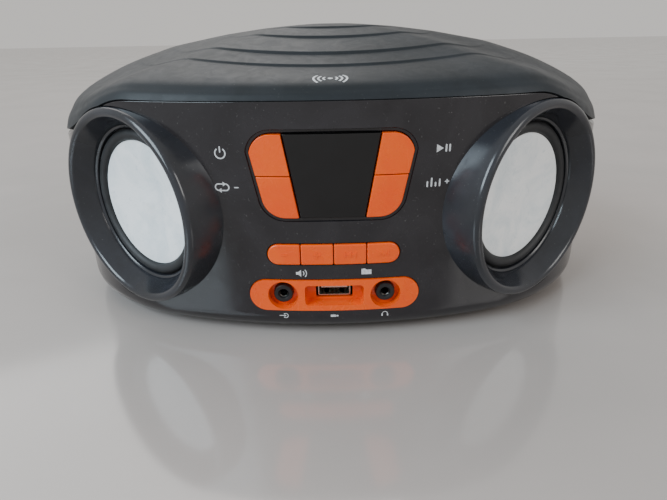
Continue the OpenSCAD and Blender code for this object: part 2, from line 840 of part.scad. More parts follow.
// Turning base with two ears for the folding joint
module aerial_knuckle() {
    ear_h = tongue_t / 2 + 0.15;
    base_top = pivot_base_y + pivot_base_t;
    color(steel) difference() {
        union() {
            rod_y(pivot_x, pivot_z, 5.6, pivot_base_y + 0.1, base_top);
            rod_y(pivot_x, pivot_z, pivot_shaft_r, rear_y - 18, pivot_base_y + 1);
            for (s = [-1, 1]) translate([pivot_x, 0, pivot_z + s * (ear_h + ear_t / 2)]) {
                translate([0, pivot_y, 0]) cylinder(r = knuckle_r, h = ear_t, center = true);
                translate([-knuckle_r, base_top - 0.2, -ear_t / 2])
                    cube([2 * knuckle_r, pivot_y - base_top + 0.2, ear_t]);
            }
        }
        translate([pivot_x, pivot_y, pivot_z - 10]) cylinder(r = pivot_pin_r, h = 20);
        rod_y(pivot_x, pivot_z, 1.1, rear_y - 19, rear_y - 8);
    }
}

module aerial_pin() {
    reach = tongue_t / 2 + ear_t;
    color(steel) translate([pivot_x, pivot_y, pivot_z]) rod(pivot_pin_r - eps, -reach, reach);
}

// Screw and washer that hold the turning base from inside the cabinet
module aerial_screw() {
    color(steel) {
        rod_y(pivot_x, pivot_z, 1.1 - eps, rear_y - 24, rear_y - 9);
        rod_y(pivot_x, pivot_z, 4, rear_y - 26, rear_y - 24);
    }
}

// A tube of the aerial along +X from the pivot
module aerial_section(r, bore, from, to) {
    translate([pivot_x + from, pivot_y, pivot_z]) rotate([0, 90, 0]) difference() {
        cylinder(r = r, h = to - from);
        translate([0, 0, 1]) cylinder(r = bore, h = to - from);
    }
}

module aerial_tube() {
    color(steel) {
        difference() {
            union() {
                translate([pivot_x, pivot_y, pivot_z])
                    cylinder(r = aerial_r - 0.2, h = tongue_t, center = true);
                translate([pivot_x, pivot_y - aerial_r + 0.4, pivot_z - tongue_t / 2])
                    cube([5, 2 * aerial_r - 0.8, tongue_t]);
            }
            translate([pivot_x, pivot_y, pivot_z - 10]) cylinder(r = pivot_pin_r + fit, h = 20);
        }
        aerial_section(aerial_r, aerial_r - tube_wall, 4.6, aerial_len);
    }
}

function nested(level) = aerial_r - level * (tube_wall + tube_fit);

module aerial_middle() {
    color(steel) aerial_section(nested(1), nested(1) - tube_wall, section_start, aerial_len + 3);
}

module aerial_inner() {
    color(steel) aerial_section(nested(2), nested(2) - tube_wall, section_start + 2, aerial_len + 6);
}

module aerial_tip() {
    color(steel) translate([pivot_x, pivot_y, pivot_z]) rotate([0, 90, 0]) {
        rod(nested(3), section_start + 4, aerial_len + 8);
        rod(aerial_r - 0.1, aerial_len + 8, aerial_len + 13);
    }
}

// ---------- fasteners and feet ----------

module cabinet_screws() {
    color(steel) for (side = [-1, 1]) for (z = post_zs) {
        rod_y(side * post_x, z, screw_r - 0.02, mid_y - post_len + 4, mid_y + 5);
        rod_y(side * post_x, z, screw_head_r, mid_y + 4.02, mid_y + 4 + screw_head_h);
    }
}

module rubber_feet() {
    color("#151515") for (x = [-1, 1]) for (y = [-1, 1])
        translate([x * (half_w - 66), mid_y + y * (half_d - 30), 0]) rod(6.5, 0, foot_h - eps);
}

module bezel_left() bezel(-1);
module bezel_right() bezel(1);
module basket_left() basket(-1);
module basket_right() basket(1);
module magnet_left() magnet(-1);
module magnet_right() magnet(1);
module cone_left() speaker_cone(-1);
module cone_right() speaker_cone(1);
module voice_coil_left() voice_coil(-1);
module voice_coil_right() voice_coil(1);
module surround_left() surround(-1);
module surround_right() surround(1);
module spider_left() spider(-1);
module spider_right() spider(1);

front_cabinet();
rear_cabinet();
top_cover();
bezel_left();
bezel_right();
basket_left();
basket_right();
magnet_left();
magnet_right();
cone_left();
cone_right();
voice_coil_left();
voice_coil_right();
surround_left();
surround_right();
spider_left();
spider_right();
speaker_screws();
display_window();
display_frame();
lcd_module();
key_power();
key_repeat();
key_play();
key_equaliser();
key_volume_down();
key_volume_up();
key_folder_back();
key_folder_next();
key_board();
key_switches();
port_plate();
aux_jack();
phones_jack();
usb_port();
main_board();
board_chips();
capacitors();
radio_module();
board_screws();
battery_box();
battery_door();
cells();
battery_contacts();
dc_inlet();
aerial_knuckle();
aerial_pin();
aerial_screw();
aerial_tube();
aerial_middle();
aerial_inner();
aerial_tip();
cabinet_screws();
rubber_feet();
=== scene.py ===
# %% [markdown]
# # A small oval music player, piece by piece
# The real object is a table-top player: an oval plastic body about 264 mm wide, a domed cover with stepped
# tiers, two speakers that look outwards, orange keys and an orange plate of sockets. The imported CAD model
# fixes every size and every joint. This lesson builds the visible skins over it, so that light runs over them
# as it does over polished and satin mouldings.

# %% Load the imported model
import json
import math

import bpy
import numpy as np
from mathutils import Matrix, Vector


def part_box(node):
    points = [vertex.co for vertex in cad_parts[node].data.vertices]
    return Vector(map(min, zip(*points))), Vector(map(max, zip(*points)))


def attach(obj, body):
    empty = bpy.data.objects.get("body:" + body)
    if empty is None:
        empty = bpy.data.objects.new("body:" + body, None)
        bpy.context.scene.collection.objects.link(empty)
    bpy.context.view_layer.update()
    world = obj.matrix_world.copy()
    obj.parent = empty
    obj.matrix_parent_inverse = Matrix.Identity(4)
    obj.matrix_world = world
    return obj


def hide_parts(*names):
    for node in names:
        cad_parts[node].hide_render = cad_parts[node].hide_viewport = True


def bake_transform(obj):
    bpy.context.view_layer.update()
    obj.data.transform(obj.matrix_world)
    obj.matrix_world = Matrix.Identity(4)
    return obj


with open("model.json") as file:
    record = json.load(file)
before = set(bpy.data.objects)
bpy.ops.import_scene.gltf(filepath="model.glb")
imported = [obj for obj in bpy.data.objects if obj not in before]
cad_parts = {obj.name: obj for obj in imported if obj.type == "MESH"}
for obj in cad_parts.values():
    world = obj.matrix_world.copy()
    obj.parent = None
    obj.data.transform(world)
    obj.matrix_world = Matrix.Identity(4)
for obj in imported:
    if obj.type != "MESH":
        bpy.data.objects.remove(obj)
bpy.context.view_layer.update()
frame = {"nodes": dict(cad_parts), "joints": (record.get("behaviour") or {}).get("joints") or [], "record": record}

# %% [markdown]
# ## Sizes
# Everything is placed from a few sizes. Those that the CAD boxes show are read from the frame, and the rest
# are the design's own values in millimetres. One factor turns them to metres.

# %% Driving sizes, read from the frame where it shows them
MM = 0.001
cabinet_low, cabinet_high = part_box("front_cabinet")
HALF_W = cabinet_high.x
MID_Y = cabinet_high.y
FRONT_Y = cabinet_low.y
FOOT = cabinet_low.z
SEAM = cabinet_high.z
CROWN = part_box("top_cover")[1].z
HALF_D = MID_Y - FRONT_Y
REAR_Y = MID_Y + HALF_D
FACE_R = 240 * MM
WALL = 2.6 * MM
THROUGH = 5 * MM
SOFT_EDGE = 0.35 * MM
EDGE_R = 9 * MM
SEAM_DROP = 18.5 * MM
SEAM_START = HALF_W - 54 * MM
SEAM_RUN = 48 * MM
print(f"body {2 * HALF_W / MM:.0f} x {2 * HALF_D / MM:.0f} x {CROWN / MM:.1f} mm")

# %% [markdown]
# ## Plan of the body
# Seen from above, the body is four tangent arcs: two long faces of 240 mm radius and two tight ends. The
# same curve guides the cabinets and the cover. A place on it is found from u: the distance across the
# face in the middle, and the distance walked along the arc round the ends.

# %% The plan curve and the seam
FACE_BACK = FACE_R - HALF_D
END_R = (FACE_R**2 - HALF_W**2 - FACE_BACK**2) / (2 * (FACE_R - HALF_W))
END_X = HALF_W - END_R
END_TURN = math.asin(END_X / (FACE_R - END_R))
FACE_EDGE = FACE_R * math.sin(END_TURN)
HALF_U = FACE_EDGE + END_R * (math.pi / 2 - END_TURN)


def face_depth(x):
    """How far the front face has curved back at x."""
    return FACE_R - math.sqrt(FACE_R**2 - x**2)


def plan_at(u):
    """Place on the front half of the plan, from the oval's middle, and the inward normal."""
    side = -1 if u < 0 else 1
    if abs(u) <= FACE_EDGE:
        angle = math.asin(abs(u) / FACE_R)
        x, y = abs(u), face_depth(u) - HALF_D
    else:
        angle = END_TURN + (abs(u) - FACE_EDGE) / END_R
        x, y = END_X + END_R * math.sin(angle), -END_R * math.cos(angle)
    return side * x, y, -side * math.sin(angle), math.cos(angle)


def seam_height(x):
    """Height of the seam between cabinets and cover: level in front, lower at the sides."""
    t = min(max((abs(x) - SEAM_START) / SEAM_RUN, 0), 1)
    return SEAM - SEAM_DROP * t * t * (3 - 2 * t)


print(f"end radius {END_R / MM:.1f} mm, half way round {HALF_U / MM:.1f} mm")

# %% [markdown]
# ## Camera
# The camera is a wide lens held close, about 18 cm in front of the face and a little below the crown,
# looking down by 23 degrees. So close, the rims bulge towards the viewer and the cover is seen edge on.

# %% Place the camera
LENS_MM = 27.0
CAMERA_BACK = 181.6 * MM
CAMERA_UP = 117.7 * MM
CAMERA_DOWN = 22.98
CAMERA_ROLL = -1.09

bpy.ops.object.camera_add(location=(0, FRONT_Y - CAMERA_BACK, CAMERA_UP))
camera = bpy.context.object
camera.name = "camera"
camera.data.lens = LENS_MM
camera.data.clip_start = 0.01
tilt = Matrix.Rotation(math.radians(90 - CAMERA_DOWN), 3, "X")
camera.rotation_euler = (tilt @ Matrix.Rotation(math.radians(CAMERA_ROLL), 3, "Z")).to_euler()
bpy.context.scene.camera = camera
print("camera at", [round(v, 3) for v in camera.location])

# %% [markdown]
# ## Tools for moulded parts
# A plastic moulding is mostly an outline with some depth. So each part starts as a circle primitive whose
# corners are set on the outline, is extruded, cut by others and bevelled, and is then laid on the curved
# body. Round parts are a closed profile that is spun. Every helper leaves the object at the origin.


# %% Selection and edit-mode helpers
def choose(obj):
    """Makes obj the only selected and active object."""
    if bpy.context.object and bpy.context.object.mode != "OBJECT":
        bpy.ops.object.mode_set(mode="OBJECT")
    bpy.ops.object.select_all(action="DESELECT")
    obj.select_set(True)
    bpy.context.view_layer.objects.active = obj


def tidy_mesh(obj):
    """Merges doubled corners and turns every face outwards."""
    choose(obj)
    bpy.ops.object.mode_set(mode="EDIT")
    bpy.ops.mesh.select_all(action="SELECT")
    bpy.ops.mesh.remove_doubles(threshold=0.004 * MM)
    bpy.ops.mesh.normals_make_consistent(inside=False)
    bpy.ops.object.mode_set(mode="OBJECT")


def apply_modifier(obj, kind, **settings):
    """Adds a modifier with its settings and applies it."""
    choose(obj)
    modifier = obj.modifiers.new(kind.lower(), kind)
    for key, value in settings.items():
        setattr(modifier, key, value)
    bpy.ops.object.modifier_apply(modifier=modifier.name)


def set_corners(obj, places):
    """Moves every corner of obj to its new place, in order."""
    obj.data.vertices.foreach_set("co", np.array(places, float).ravel())
    obj.data.update()


def move_corners(obj, rule):
    """Moves every corner of obj by a rule that takes and gives x, y and z."""
    set_corners(obj, [rule(*v.co) for v in obj.data.vertices])


print("edit-mode helpers ready")


# %% Outlines, prisms and lathed parts
def arc(x, z, r, start, end, steps):
    """Points of an arc in degrees, both ends included."""
    angles = [math.radians(start + (end - start) * i / steps) for i in range(steps + 1)]
    return [(x + r * math.cos(a), z + r * math.sin(a)) for a in angles]


def stadium(half, height, x=0.0, z=0.0, steps=16):
    """A bar with round ends."""
    r = height / 2
    return arc(x + half - r, z, r, -90, 90, steps) + arc(x - half + r, z, r, 90, 270, steps)


def rounded_box(half_x, half_z, r, x=0.0, z=0.0, steps=6):
    """A rectangle with round corners."""
    return [
        p
        for sx, sz, start in ((1, -1, -90), (1, 1, 0), (-1, 1, 90), (-1, -1, 180))
        for p in arc(x + sx * (half_x - r), z + sz * (half_z - r), r, start, start + 90, steps)
    ]


def clip(points, a, b, c):
    """Keeps the part of a convex outline where a x + b z is at least c."""
    kept = []
    for (x0, z0), (x1, z1) in zip(points, points[1:] + points[:1]):
        d0, d1 = a * x0 + b * z0 - c, a * x1 + b * z1 - c
        if d0 >= 0:
            kept.append((x0, z0))
        if d0 * d1 < 0:
            t = d0 / (d0 - d1)
            kept.append((x0 + t * (x1 - x0), z0 + t * (z1 - z0)))
    return kept


def prism(name, outline, front, back):
    """A flat part: outline in x and z, from depth front to depth back along y."""
    bpy.ops.object.select_all(action="DESELECT")
    bpy.ops.mesh.primitive_circle_add(vertices=len(outline), fill_type="NGON")
    obj = bpy.context.object
    obj.name = obj.data.name = name
    set_corners(obj, [(x, front, z) for x, z in outline])
    bpy.ops.object.mode_set(mode="EDIT")
    bpy.ops.mesh.select_all(action="SELECT")
    bpy.ops.mesh.extrude_region_move(TRANSFORM_OT_translate={"value": (0, back - front, 0)})
    bpy.ops.object.mode_set(mode="OBJECT")
    tidy_mesh(obj)
    return obj


def lathe(name, profile, steps=128):
    """A round part: a closed profile in radius and height, spun round z."""
    bpy.ops.object.select_all(action="DESELECT")
    bpy.ops.mesh.primitive_circle_add(vertices=len(profile), fill_type="NOTHING")
    obj = bpy.context.object
    obj.name = obj.data.name = name
    set_corners(obj, [(r, 0, z) for r, z in profile])
    bpy.ops.object.mode_set(mode="EDIT")
    bpy.ops.mesh.select_all(action="SELECT")
    bpy.ops.mesh.spin(steps=steps, angle=2 * math.pi, center=(0, 0, 0), axis=(0, 0, 1))
    bpy.ops.object.mode_set(mode="OBJECT")
    tidy_mesh(obj)
    return obj


def slice_mesh(obj, normal, places):
    """Adds a row of edges in each plane across normal."""
    choose(obj)
    bpy.ops.object.mode_set(mode="EDIT")
    for place in places:
        bpy.ops.mesh.select_all(action="SELECT")
        bpy.ops.mesh.bisect(plane_co=Vector(normal) * place, plane_no=normal)
    bpy.ops.object.mode_set(mode="OBJECT")


def cut(obj, *cutters, operation="DIFFERENCE"):
    """Cuts each cutter out of obj, or joins it on, and removes the cutter."""
    for cutter in cutters:
        apply_modifier(obj, "BOOLEAN", operation=operation, solver="EXACT", object=cutter)
        bpy.data.objects.remove(cutter)


def round_edges(obj, width, segments=3, angle=35):
    """Rounds every edge that turns by more than angle."""
    apply_modifier(obj, "BEVEL", width=width, segments=segments, limit_method="ANGLE",
                   angle_limit=math.radians(angle), use_clamp_overlap=True)


def smooth(obj, angle=35):
    """Smooth shading, with large faces leading so that flats stay flat beside their rounded edges."""
    choose(obj)
    bpy.ops.object.shade_smooth_by_angle(angle=math.radians(angle))
    apply_modifier(obj, "WEIGHTED_NORMAL", keep_sharp=True, weight=60)


def place(obj, matrix):
    """Puts a finished part in its place, and keeps its object at the origin."""
    obj.data.transform(matrix)
    obj.data.update()
    return obj


def join(parts, name):
    """Joins parts into one object."""
    choose(parts[0])
    for part in parts[1:]:
        part.select_set(True)
    if len(parts) > 1:
        bpy.ops.object.join()
    parts[0].name = parts[0].data.name = name
    return parts[0]


print("outline, prism and lathe helpers ready")

# %% [markdown]
# ## Laying parts on the body
# A flat part is laid on the front face by sliding each corner back by the face's depth there, so its sides
# still run straight back, as a mould opens. A cabinet is a flat sheet wrapped round the whole plan: its
# height runs up the wall, round the lower edge and in under the floor to the middle.


# %% Wrapping rules
def lay_on_face(obj):
    """Lays a flat part on the front face."""
    move_corners(obj, lambda x, y, z: (x, FRONT_Y + face_depth(x) + y, z))
    return obj


EDGE_TOP = FOOT + EDGE_R
EDGE_RUN = EDGE_R * math.pi / 2
FLOOR_RUN = 80 * MM
SEAM_GAP = 0.3 * MM


def wrap_rule(rear):
    """A rule that wraps a flat sheet (u, depth, height) round one half of the body."""

    def rule(u, depth, height):
        x, y, nx, ny = plan_at(u)
        if height >= EDGE_TOP:
            share = (height - EDGE_TOP) / (SEAM - EDGE_TOP)
            z = EDGE_TOP + share * (seam_height(x) - EDGE_TOP)
            x, y = x + nx * depth, y + ny * depth
        else:
            turn = min((EDGE_TOP - height) / EDGE_R, math.pi / 2)
            inset = EDGE_R - (EDGE_R - depth) * math.cos(turn)
            z = FOOT + EDGE_R - (EDGE_R - depth) * math.sin(turn)
            x, y = x + nx * inset, y + ny * inset
            in_floor = max(EDGE_TOP - EDGE_RUN - height, 0) / FLOOR_RUN
            x, y = x * (1 - in_floor), y * (1 - in_floor)
        return x, MID_Y + (-y if rear else y), z

    return rule


def cabinet_sheet(name):
    """The flat sheet that becomes half a cabinet, with enough rows to bend smoothly."""
    low = EDGE_TOP - EDGE_RUN - FLOOR_RUN
    corners = [(-HALF_U, low), (HALF_U, low), (HALF_U, SEAM), (-HALF_U, SEAM)]
    sheet = prism(name, corners, 0, WALL)
    columns = [FACE_EDGE * i / 16 for i in range(-16, 17)]
    columns += [s * (FACE_EDGE + (HALF_U - FACE_EDGE) * i / 36) for s in (-1, 1) for i in range(1, 36)]
    slice_mesh(sheet, (1, 0, 0), columns)
    slice_mesh(sheet, (0, 0, 1), [EDGE_TOP - EDGE_RUN * i / 8 for i in range(9)])
    return sheet


print("wrap ready")

# %% [markdown]
# ## Outlines of the controls
# The display and its four keys fill one shape, like a shield with round outer corners. The window is a
# trapezium in its middle, and the keys are what is left, split by a level line. The outlines are used
# twice: for the keys, and a little larger for their openings.

# %% Control outlines
GROUP_LOW, GROUP_HIGH = 54.2 * MM, 86 * MM
WINDOW_TOP, WINDOW_LOW = 18 * MM, 12.4 * MM
GROUP_TOP_HALF, GROUP_LOW_HALF = WINDOW_TOP + 12.6 * MM, WINDOW_LOW + 14.6 * MM
SPLIT_Z = 70.6 * MM
ROW_Z, ROW_H, ROW_HALF = 38.8 * MM, 8.6 * MM, 26.3 * MM
PLATE_Z, PLATE_H, PLATE_HALF = 20.6 * MM, 13.8 * MM, 34.8 * MM
KEY_GAP = 0.35 * MM
WINDOW_GAP = 0.5 * MM


def group_outline(grow=0.0):
    """The shield shape round the display and its keys."""
    r0, r1 = 8 * MM, 9 * MM
    right = arc(GROUP_TOP_HALF - r0, GROUP_HIGH - r0, r0 + grow, 90, 10, 10)
    right += arc(GROUP_LOW_HALF - r1, GROUP_LOW + r1, r1 + grow, -16, -90, 10)
    return right + [(-x, z) for x, z in reversed(right)]


def window_outline(grow=0.0):
    """The display window."""
    return [(-WINDOW_LOW - grow, GROUP_LOW - grow), (WINDOW_LOW + grow, GROUP_LOW - grow),
            (WINDOW_TOP + grow, GROUP_HIGH + grow), (-WINDOW_TOP - grow, GROUP_HIGH + grow)]


def side_key_outline(side, upper):
    """One of the four keys beside the window."""
    slope = (WINDOW_TOP - WINDOW_LOW) / (GROUP_HIGH - GROUP_LOW)
    inner = WINDOW_LOW - slope * GROUP_LOW + WINDOW_GAP
    half = clip(group_outline(), side, -slope, inner)
    return clip(half, 0, 1, SPLIT_Z + KEY_GAP / 2) if upper else clip(half, 0, -1, KEY_GAP / 2 - SPLIT_Z)


def row_key_outline(index):
    """One of the four small keys, counted from the left."""
    pitch = ROW_HALF / 2
    left, right = (index - 2) * pitch, (index - 1) * pitch
    whole = stadium(ROW_HALF, ROW_H, z=ROW_Z)
    kept = clip(whole, 1, 0, left + (KEY_GAP / 2 if index else -MM))
    return clip(kept, -1, 0, -right + (KEY_GAP / 2 if index < 3 else -MM))


print("key outlines:", len(side_key_outline(1, True)), len(row_key_outline(0)))

# %% [markdown]
# ## Speaker axes
# Each speaker looks outwards along its cone's joint axis. A part is made with z along that axis and 0 at
# the rim's front, and then placed by one matrix.

# %% Speaker placement
RIM_R = 41.4 * MM
RIM_LENGTH = 22 * MM
RIM_GAP = 0.3 * MM
LIP_R = 2.2 * MM
HORN_Z, HORN_R = -12 * MM, 32.2 * MM
CONE_R = 27 * MM
SPEAKER_X = HALF_W - 45.4 * MM
SPEAKER_Z = (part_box("bezel_left")[0].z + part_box("bezel_left")[1].z) / 2
joint_axis = {j["name"]: Vector(j["axis"]) for j in frame["joints"]}


def speaker_matrix(side):
    """Stands z on a speaker's axis, with the rim's centre at the origin."""
    out = joint_axis["left_cone_travel" if side < 0 else "right_cone_travel"]
    centre = Vector((side * SPEAKER_X, FRONT_Y + face_depth(SPEAKER_X) - 0.7 * MM, SPEAKER_Z))
    across = Vector((0, 0, 1)).cross(out).normalized()
    return Matrix.Translation(centre) @ Matrix((across, out.cross(across), out)).transposed().to_4x4()


def speaker_cutter(side):
    """A round bar along a speaker's axis that cuts the hole for its rim."""
    low, radius = -RIM_LENGTH - 3 * MM, RIM_R + RIM_GAP
    bar = lathe("cutter", [(0, low), (radius, low), (radius, 40 * MM), (0, 40 * MM)])
    return place(bar, speaker_matrix(side))


print("speaker height", round(SPEAKER_Z / MM, 1), "mm")

# %% [markdown]
# ## Front cabinet
# The real one is a single injection moulding in polished black ABS, with holes moulded for the rims, the
# keys and the sockets. Cutting a curved shell would leave ripples in its reflections. So the sheet is cut
# and bevelled while it is flat, and only then wrapped, and the rims' holes are cut last.

# %% Front cabinet
RECESS_DEPTH = 0.8 * MM
RECESS_MARGIN = 1.6 * MM
front_shell = cabinet_sheet("front_shell")
cut(front_shell,
    prism("cutter", group_outline(RECESS_MARGIN), -THROUGH, RECESS_DEPTH),
    prism("cutter", group_outline(KEY_GAP), -THROUGH, THROUGH),
    prism("cutter", stadium(ROW_HALF + KEY_GAP, ROW_H + 2 * KEY_GAP, z=ROW_Z), -THROUGH, THROUGH),
    prism("cutter", stadium(PLATE_HALF + 0.2 * MM, PLATE_H + 0.4 * MM, z=PLATE_Z), -THROUGH, THROUGH))
round_edges(front_shell, SOFT_EDGE, 2)
move_corners(front_shell, wrap_rule(rear=False))
tidy_mesh(front_shell)
cut(front_shell, *(speaker_cutter(side) for side in (-1, 1)))
smooth(front_shell)
print("front_shell", len(front_shell.data.vertices), "corners")

# %% [markdown]
# ## Top cover
# The cover is a satin grey dome with four oval steps. It is built like a bowl on a lathe: a ring is
# extruded and drawn in, row by row. Each ring is then set on the oval plan, low over the sides
# and high in the middle. The steps are extra rise that comes within 2 mm, so their edges stay soft. They
# fade out towards the sides, where the dome is smooth.

# %% Top cover
# share of the plan, rise at the sides, rise at the front, all without the steps
COVER = np.array([
    [1.000, 0.050, -0.020], [0.985, 0.198, 0.090], [0.969, 0.275, 0.145], [0.935, 0.374, 0.212],
    [0.892, 0.455, 0.256], [0.830, 0.549, 0.304], [0.762, 0.637, 0.337], [0.710, 0.690, 0.355],
    [0.590, 0.799, 0.487], [0.393, 0.905, 0.681], [0.243, 0.961, 0.807], [0.100, 0.993, 0.862],
    [0.000, 1.000, 0.872]])
STEPS = [(0.712, 0.031), (0.591, 0.035), (0.393, 0.033), (0.243, 0.029)]
STEP_WIDTH = 0.012
COVER_CORNERS = 240
COVER_WALL = 2.2 * MM


def cover_rise(k, column):
    """Rise of the cover where its plan is k of the full one. column 1 is the sides, 2 the front."""
    near = min(0.03, 1.2 * (1 - k) + 0.001)
    rise = np.mean([np.interp(k + near * d / 4, COVER[::-1, 0], COVER[::-1, column]) for d in range(-4, 5)])
    for start, height in STEPS if column == 2 else ():
        t = min(max((start - k) / STEP_WIDTH + 0.5, 0), 1)
        rise += height * t * t * (3 - 2 * t)
    return rise


def cover_place(k, angle):
    """Place of a cover point from its share of the plan and its angle round the ring."""
    share = (math.degrees(angle) + 90) % 360 / 360
    u = HALF_U * (4 * share - 1) if share < 0.5 else HALF_U * (3 - 4 * share)
    x, y, _, _ = plan_at(u)
    y = y if share < 0.5 else -y
    rise = cover_rise(k, 2) + (cover_rise(k, 1) - cover_rise(k, 2)) * (x / HALF_W) ** 2
    low = seam_height(x) + SEAM_GAP
    return k * x, MID_Y + k * y, low + max(rise, 0) * (CROWN - low)


near_steps = [start + STEP_WIDTH * t for start, _ in STEPS for t in (-0.6, -0.4, -0.2, 0, 0.2, 0.4, 0.6)]
rows = [*np.linspace(1, 0.94, 13), *np.linspace(0.93, 0.02, 40), *near_steps]
rows = sorted({round(k, 4) for k in rows}, reverse=True)
bpy.ops.object.select_all(action="DESELECT")
bpy.ops.mesh.primitive_circle_add(vertices=COVER_CORNERS, radius=1, fill_type="NOTHING")
cover_shell = bpy.context.object
cover_shell.name = cover_shell.data.name = "cover_shell"
bpy.ops.object.mode_set(mode="EDIT")
bpy.ops.mesh.select_all(action="SELECT")
for k, after in zip(rows, rows[1:]):
    bpy.ops.mesh.extrude_edges_move(TRANSFORM_OT_translate={"value": (0, 0, 1)})
    bpy.ops.transform.resize(value=(after / k, after / k, 1), center_override=(0, 0, 0))
bpy.ops.mesh.edge_face_add()
bpy.ops.object.mode_set(mode="OBJECT")
move_corners(cover_shell, lambda x, y, z: cover_place(math.hypot(x, y), math.atan2(y, x)))
tidy_mesh(cover_shell)
apply_modifier(cover_shell, "SOLIDIFY", thickness=COVER_WALL, offset=-1, use_rim=True)
cut(cover_shell, *(speaker_cutter(side) for side in (-1, 1)))
smooth(cover_shell, 50)
print("cover_shell", len(cover_shell.data.vertices), "corners,", len(rows), "rows")

# %% [markdown]
# ## Rear cabinet and battery door
# The back is a matching shell in fine-textured black, cut for the battery door. The door is a piece of the
# same sheet, a hair smaller, with a row of grip ribs and a thumb hollow. It takes the same wrap, so it
# lies flush in its opening.

# %% Rear cabinet and door
DOOR_HALF, DOOR_LOW, DOOR_HIGH = 52 * MM, 10.6 * MM, 61 * MM
DOOR_GAP = 0.4 * MM
POST_X, POST_ZS, WELL_R = HALF_W - 24 * MM, (24 * MM, 68 * MM), 3.4 * MM
INLET_X, INLET_Z, INLET_R = HALF_W - 46 * MM, 26 * MM, 7.4 * MM
INLET_FLOOR = MID_Y + 71 * MM


def along_y(x, z, y=0.0):
    """Stands a lathed part's z axis along +y at x and z."""
    return Matrix.Translation((x, y, z)) @ Matrix.Rotation(-math.pi / 2, 4, "X")


def bar_along_y(name, x, z, radius, low, high, inner=0.0, steps=48):
    """A round bar or tube along y."""
    bar = lathe(name, [(inner, low), (radius, low), (radius, high), (inner, high)], steps)
    return place(bar, along_y(x, z))


def door_box(inset):
    """Outline of the door's opening, drawn in by inset."""
    middle, half = (DOOR_LOW + DOOR_HIGH) / 2, (DOOR_HIGH - DOOR_LOW) / 2
    return rounded_box(DOOR_HALF - inset, half - inset, 3 * MM, z=middle)


rear_shell = cabinet_sheet("rear_shell")
cut(rear_shell, prism("cutter", door_box(0), -THROUGH, THROUGH))
round_edges(rear_shell, SOFT_EDGE, 2)
move_corners(rear_shell, wrap_rule(rear=True))
tidy_mesh(rear_shell)
for side in (-1, 1):
    for z in POST_ZS:
        cut(rear_shell, bar_along_y("cutter", side * POST_X, z, WELL_R, MID_Y + 4 * MM, REAR_Y + MM))
cut(rear_shell, bar_along_y("cutter", INLET_X, INLET_Z, INLET_R, INLET_FLOOR, REAR_Y + MM))
smooth(rear_shell)
print("rear_shell", len(rear_shell.data.vertices), "corners")

door_panel = prism("door_panel", door_box(DOOR_GAP), 0, WALL)
slice_mesh(door_panel, (1, 0, 0), [DOOR_HALF * i / 16 for i in range(-15, 16)])
slice_mesh(door_panel, (0, 0, 1), [EDGE_TOP])
cut(door_panel, prism("cutter", stadium(12 * MM, 9 * MM, z=DOOR_HIGH - 9 * MM), -1 * MM, 1.1 * MM))
round_edges(door_panel, SOFT_EDGE, 2)
ribs = [prism("rib", stadium(9 * MM, 1 * MM, z=DOOR_HIGH - (6.6 + 2.4 * i) * MM, steps=6), 0.2 * MM, 1.6 * MM)
        for i in range(3)]
for rib in ribs:
    round_edges(rib, 0.25 * MM, 2)
door_panel = join([door_panel, *ribs], "door_panel")
move_corners(door_panel, wrap_rule(rear=True))
tidy_mesh(door_panel)
smooth(door_panel)
print("door_panel", len(door_panel.data.vertices), "corners")

# %% Screw wells, inlet pocket, aerial boss and rest
PIVOT_X, PIVOT_Z = 56 * MM - HALF_W, SEAM - 12.4 * MM
PIVOT_BASE = REAR_Y - 0.8 * MM
AERIAL_R = 2.9 * MM
BOSS_R, PIVOT_HOLE_R, INLET_HOLE_R = 7 * MM, 2.7 * MM, 4.1 * MM


def trimmed_tube(name, x, z, radius, inner, low):
    """A tube along y that ends just inside the curved rear wall."""
    tube = bar_along_y(name, x, z, radius, low, REAR_Y, inner)
    angle = math.asin((abs(x) - END_X) / END_R)
    normal = Vector((math.copysign(math.sin(angle), x), math.cos(angle), 0))
    wall = Vector((x, MID_Y + END_R * math.cos(angle), z)) - normal * 0.6 * MM
    choose(tube)
    bpy.ops.object.mode_set(mode="EDIT")
    bpy.ops.mesh.select_all(action="SELECT")
    bpy.ops.mesh.bisect(plane_co=wall, plane_no=normal, clear_outer=True, use_fill=True)
    bpy.ops.object.mode_set(mode="OBJECT")
    return tube


rear_details = []
for side in (-1, 1):
    for z in POST_ZS:
        rear_details.append(trimmed_tube("well", side * POST_X, z, 5 * MM, WELL_R, MID_Y + 4 * MM))
pocket_end = INLET_FLOOR - 2 * MM
rear_details += [
    trimmed_tube("pocket", INLET_X, INLET_Z, INLET_R + 1.4 * MM, INLET_R, pocket_end),
    bar_along_y("floor", INLET_X, INLET_Z, INLET_R + MM, pocket_end, INLET_FLOOR, INLET_HOLE_R)]
boss_end = REAR_Y - 24 * MM
boss = lathe("boss", [(PIVOT_HOLE_R, boss_end), (BOSS_R, boss_end), (BOSS_R, PIVOT_BASE - 0.6 * MM),
                      (BOSS_R - 0.6 * MM, PIVOT_BASE), (PIVOT_HOLE_R, PIVOT_BASE)], 64)
rear_details.append(place(boss, along_y(PIVOT_X, PIVOT_Z)))
rest_low = PIVOT_Z - AERIAL_R - 2.2 * MM
rest = prism("rest", rounded_box(3 * MM, MM, 0.5 * MM, x=PIVOT_X + 89 * MM, z=rest_low + MM),
             REAR_Y - 6 * MM, REAR_Y + 7 * MM)
round_edges(rest, 0.4 * MM, 3)
rear_details.append(rest)
rear_fittings = join(rear_details, "rear_fittings")
tidy_mesh(rear_fittings)
smooth(rear_fittings)
print("rear_fittings", len(rear_fittings.data.vertices), "corners")

# %% [markdown]
# ## Speaker rims
# A rim is a short polished tube with a fat rounded lip. Inside, a dark cone leads in to a small step, and
# behind the step sits the driver. It is a body of revolution, so its closed profile is spun.

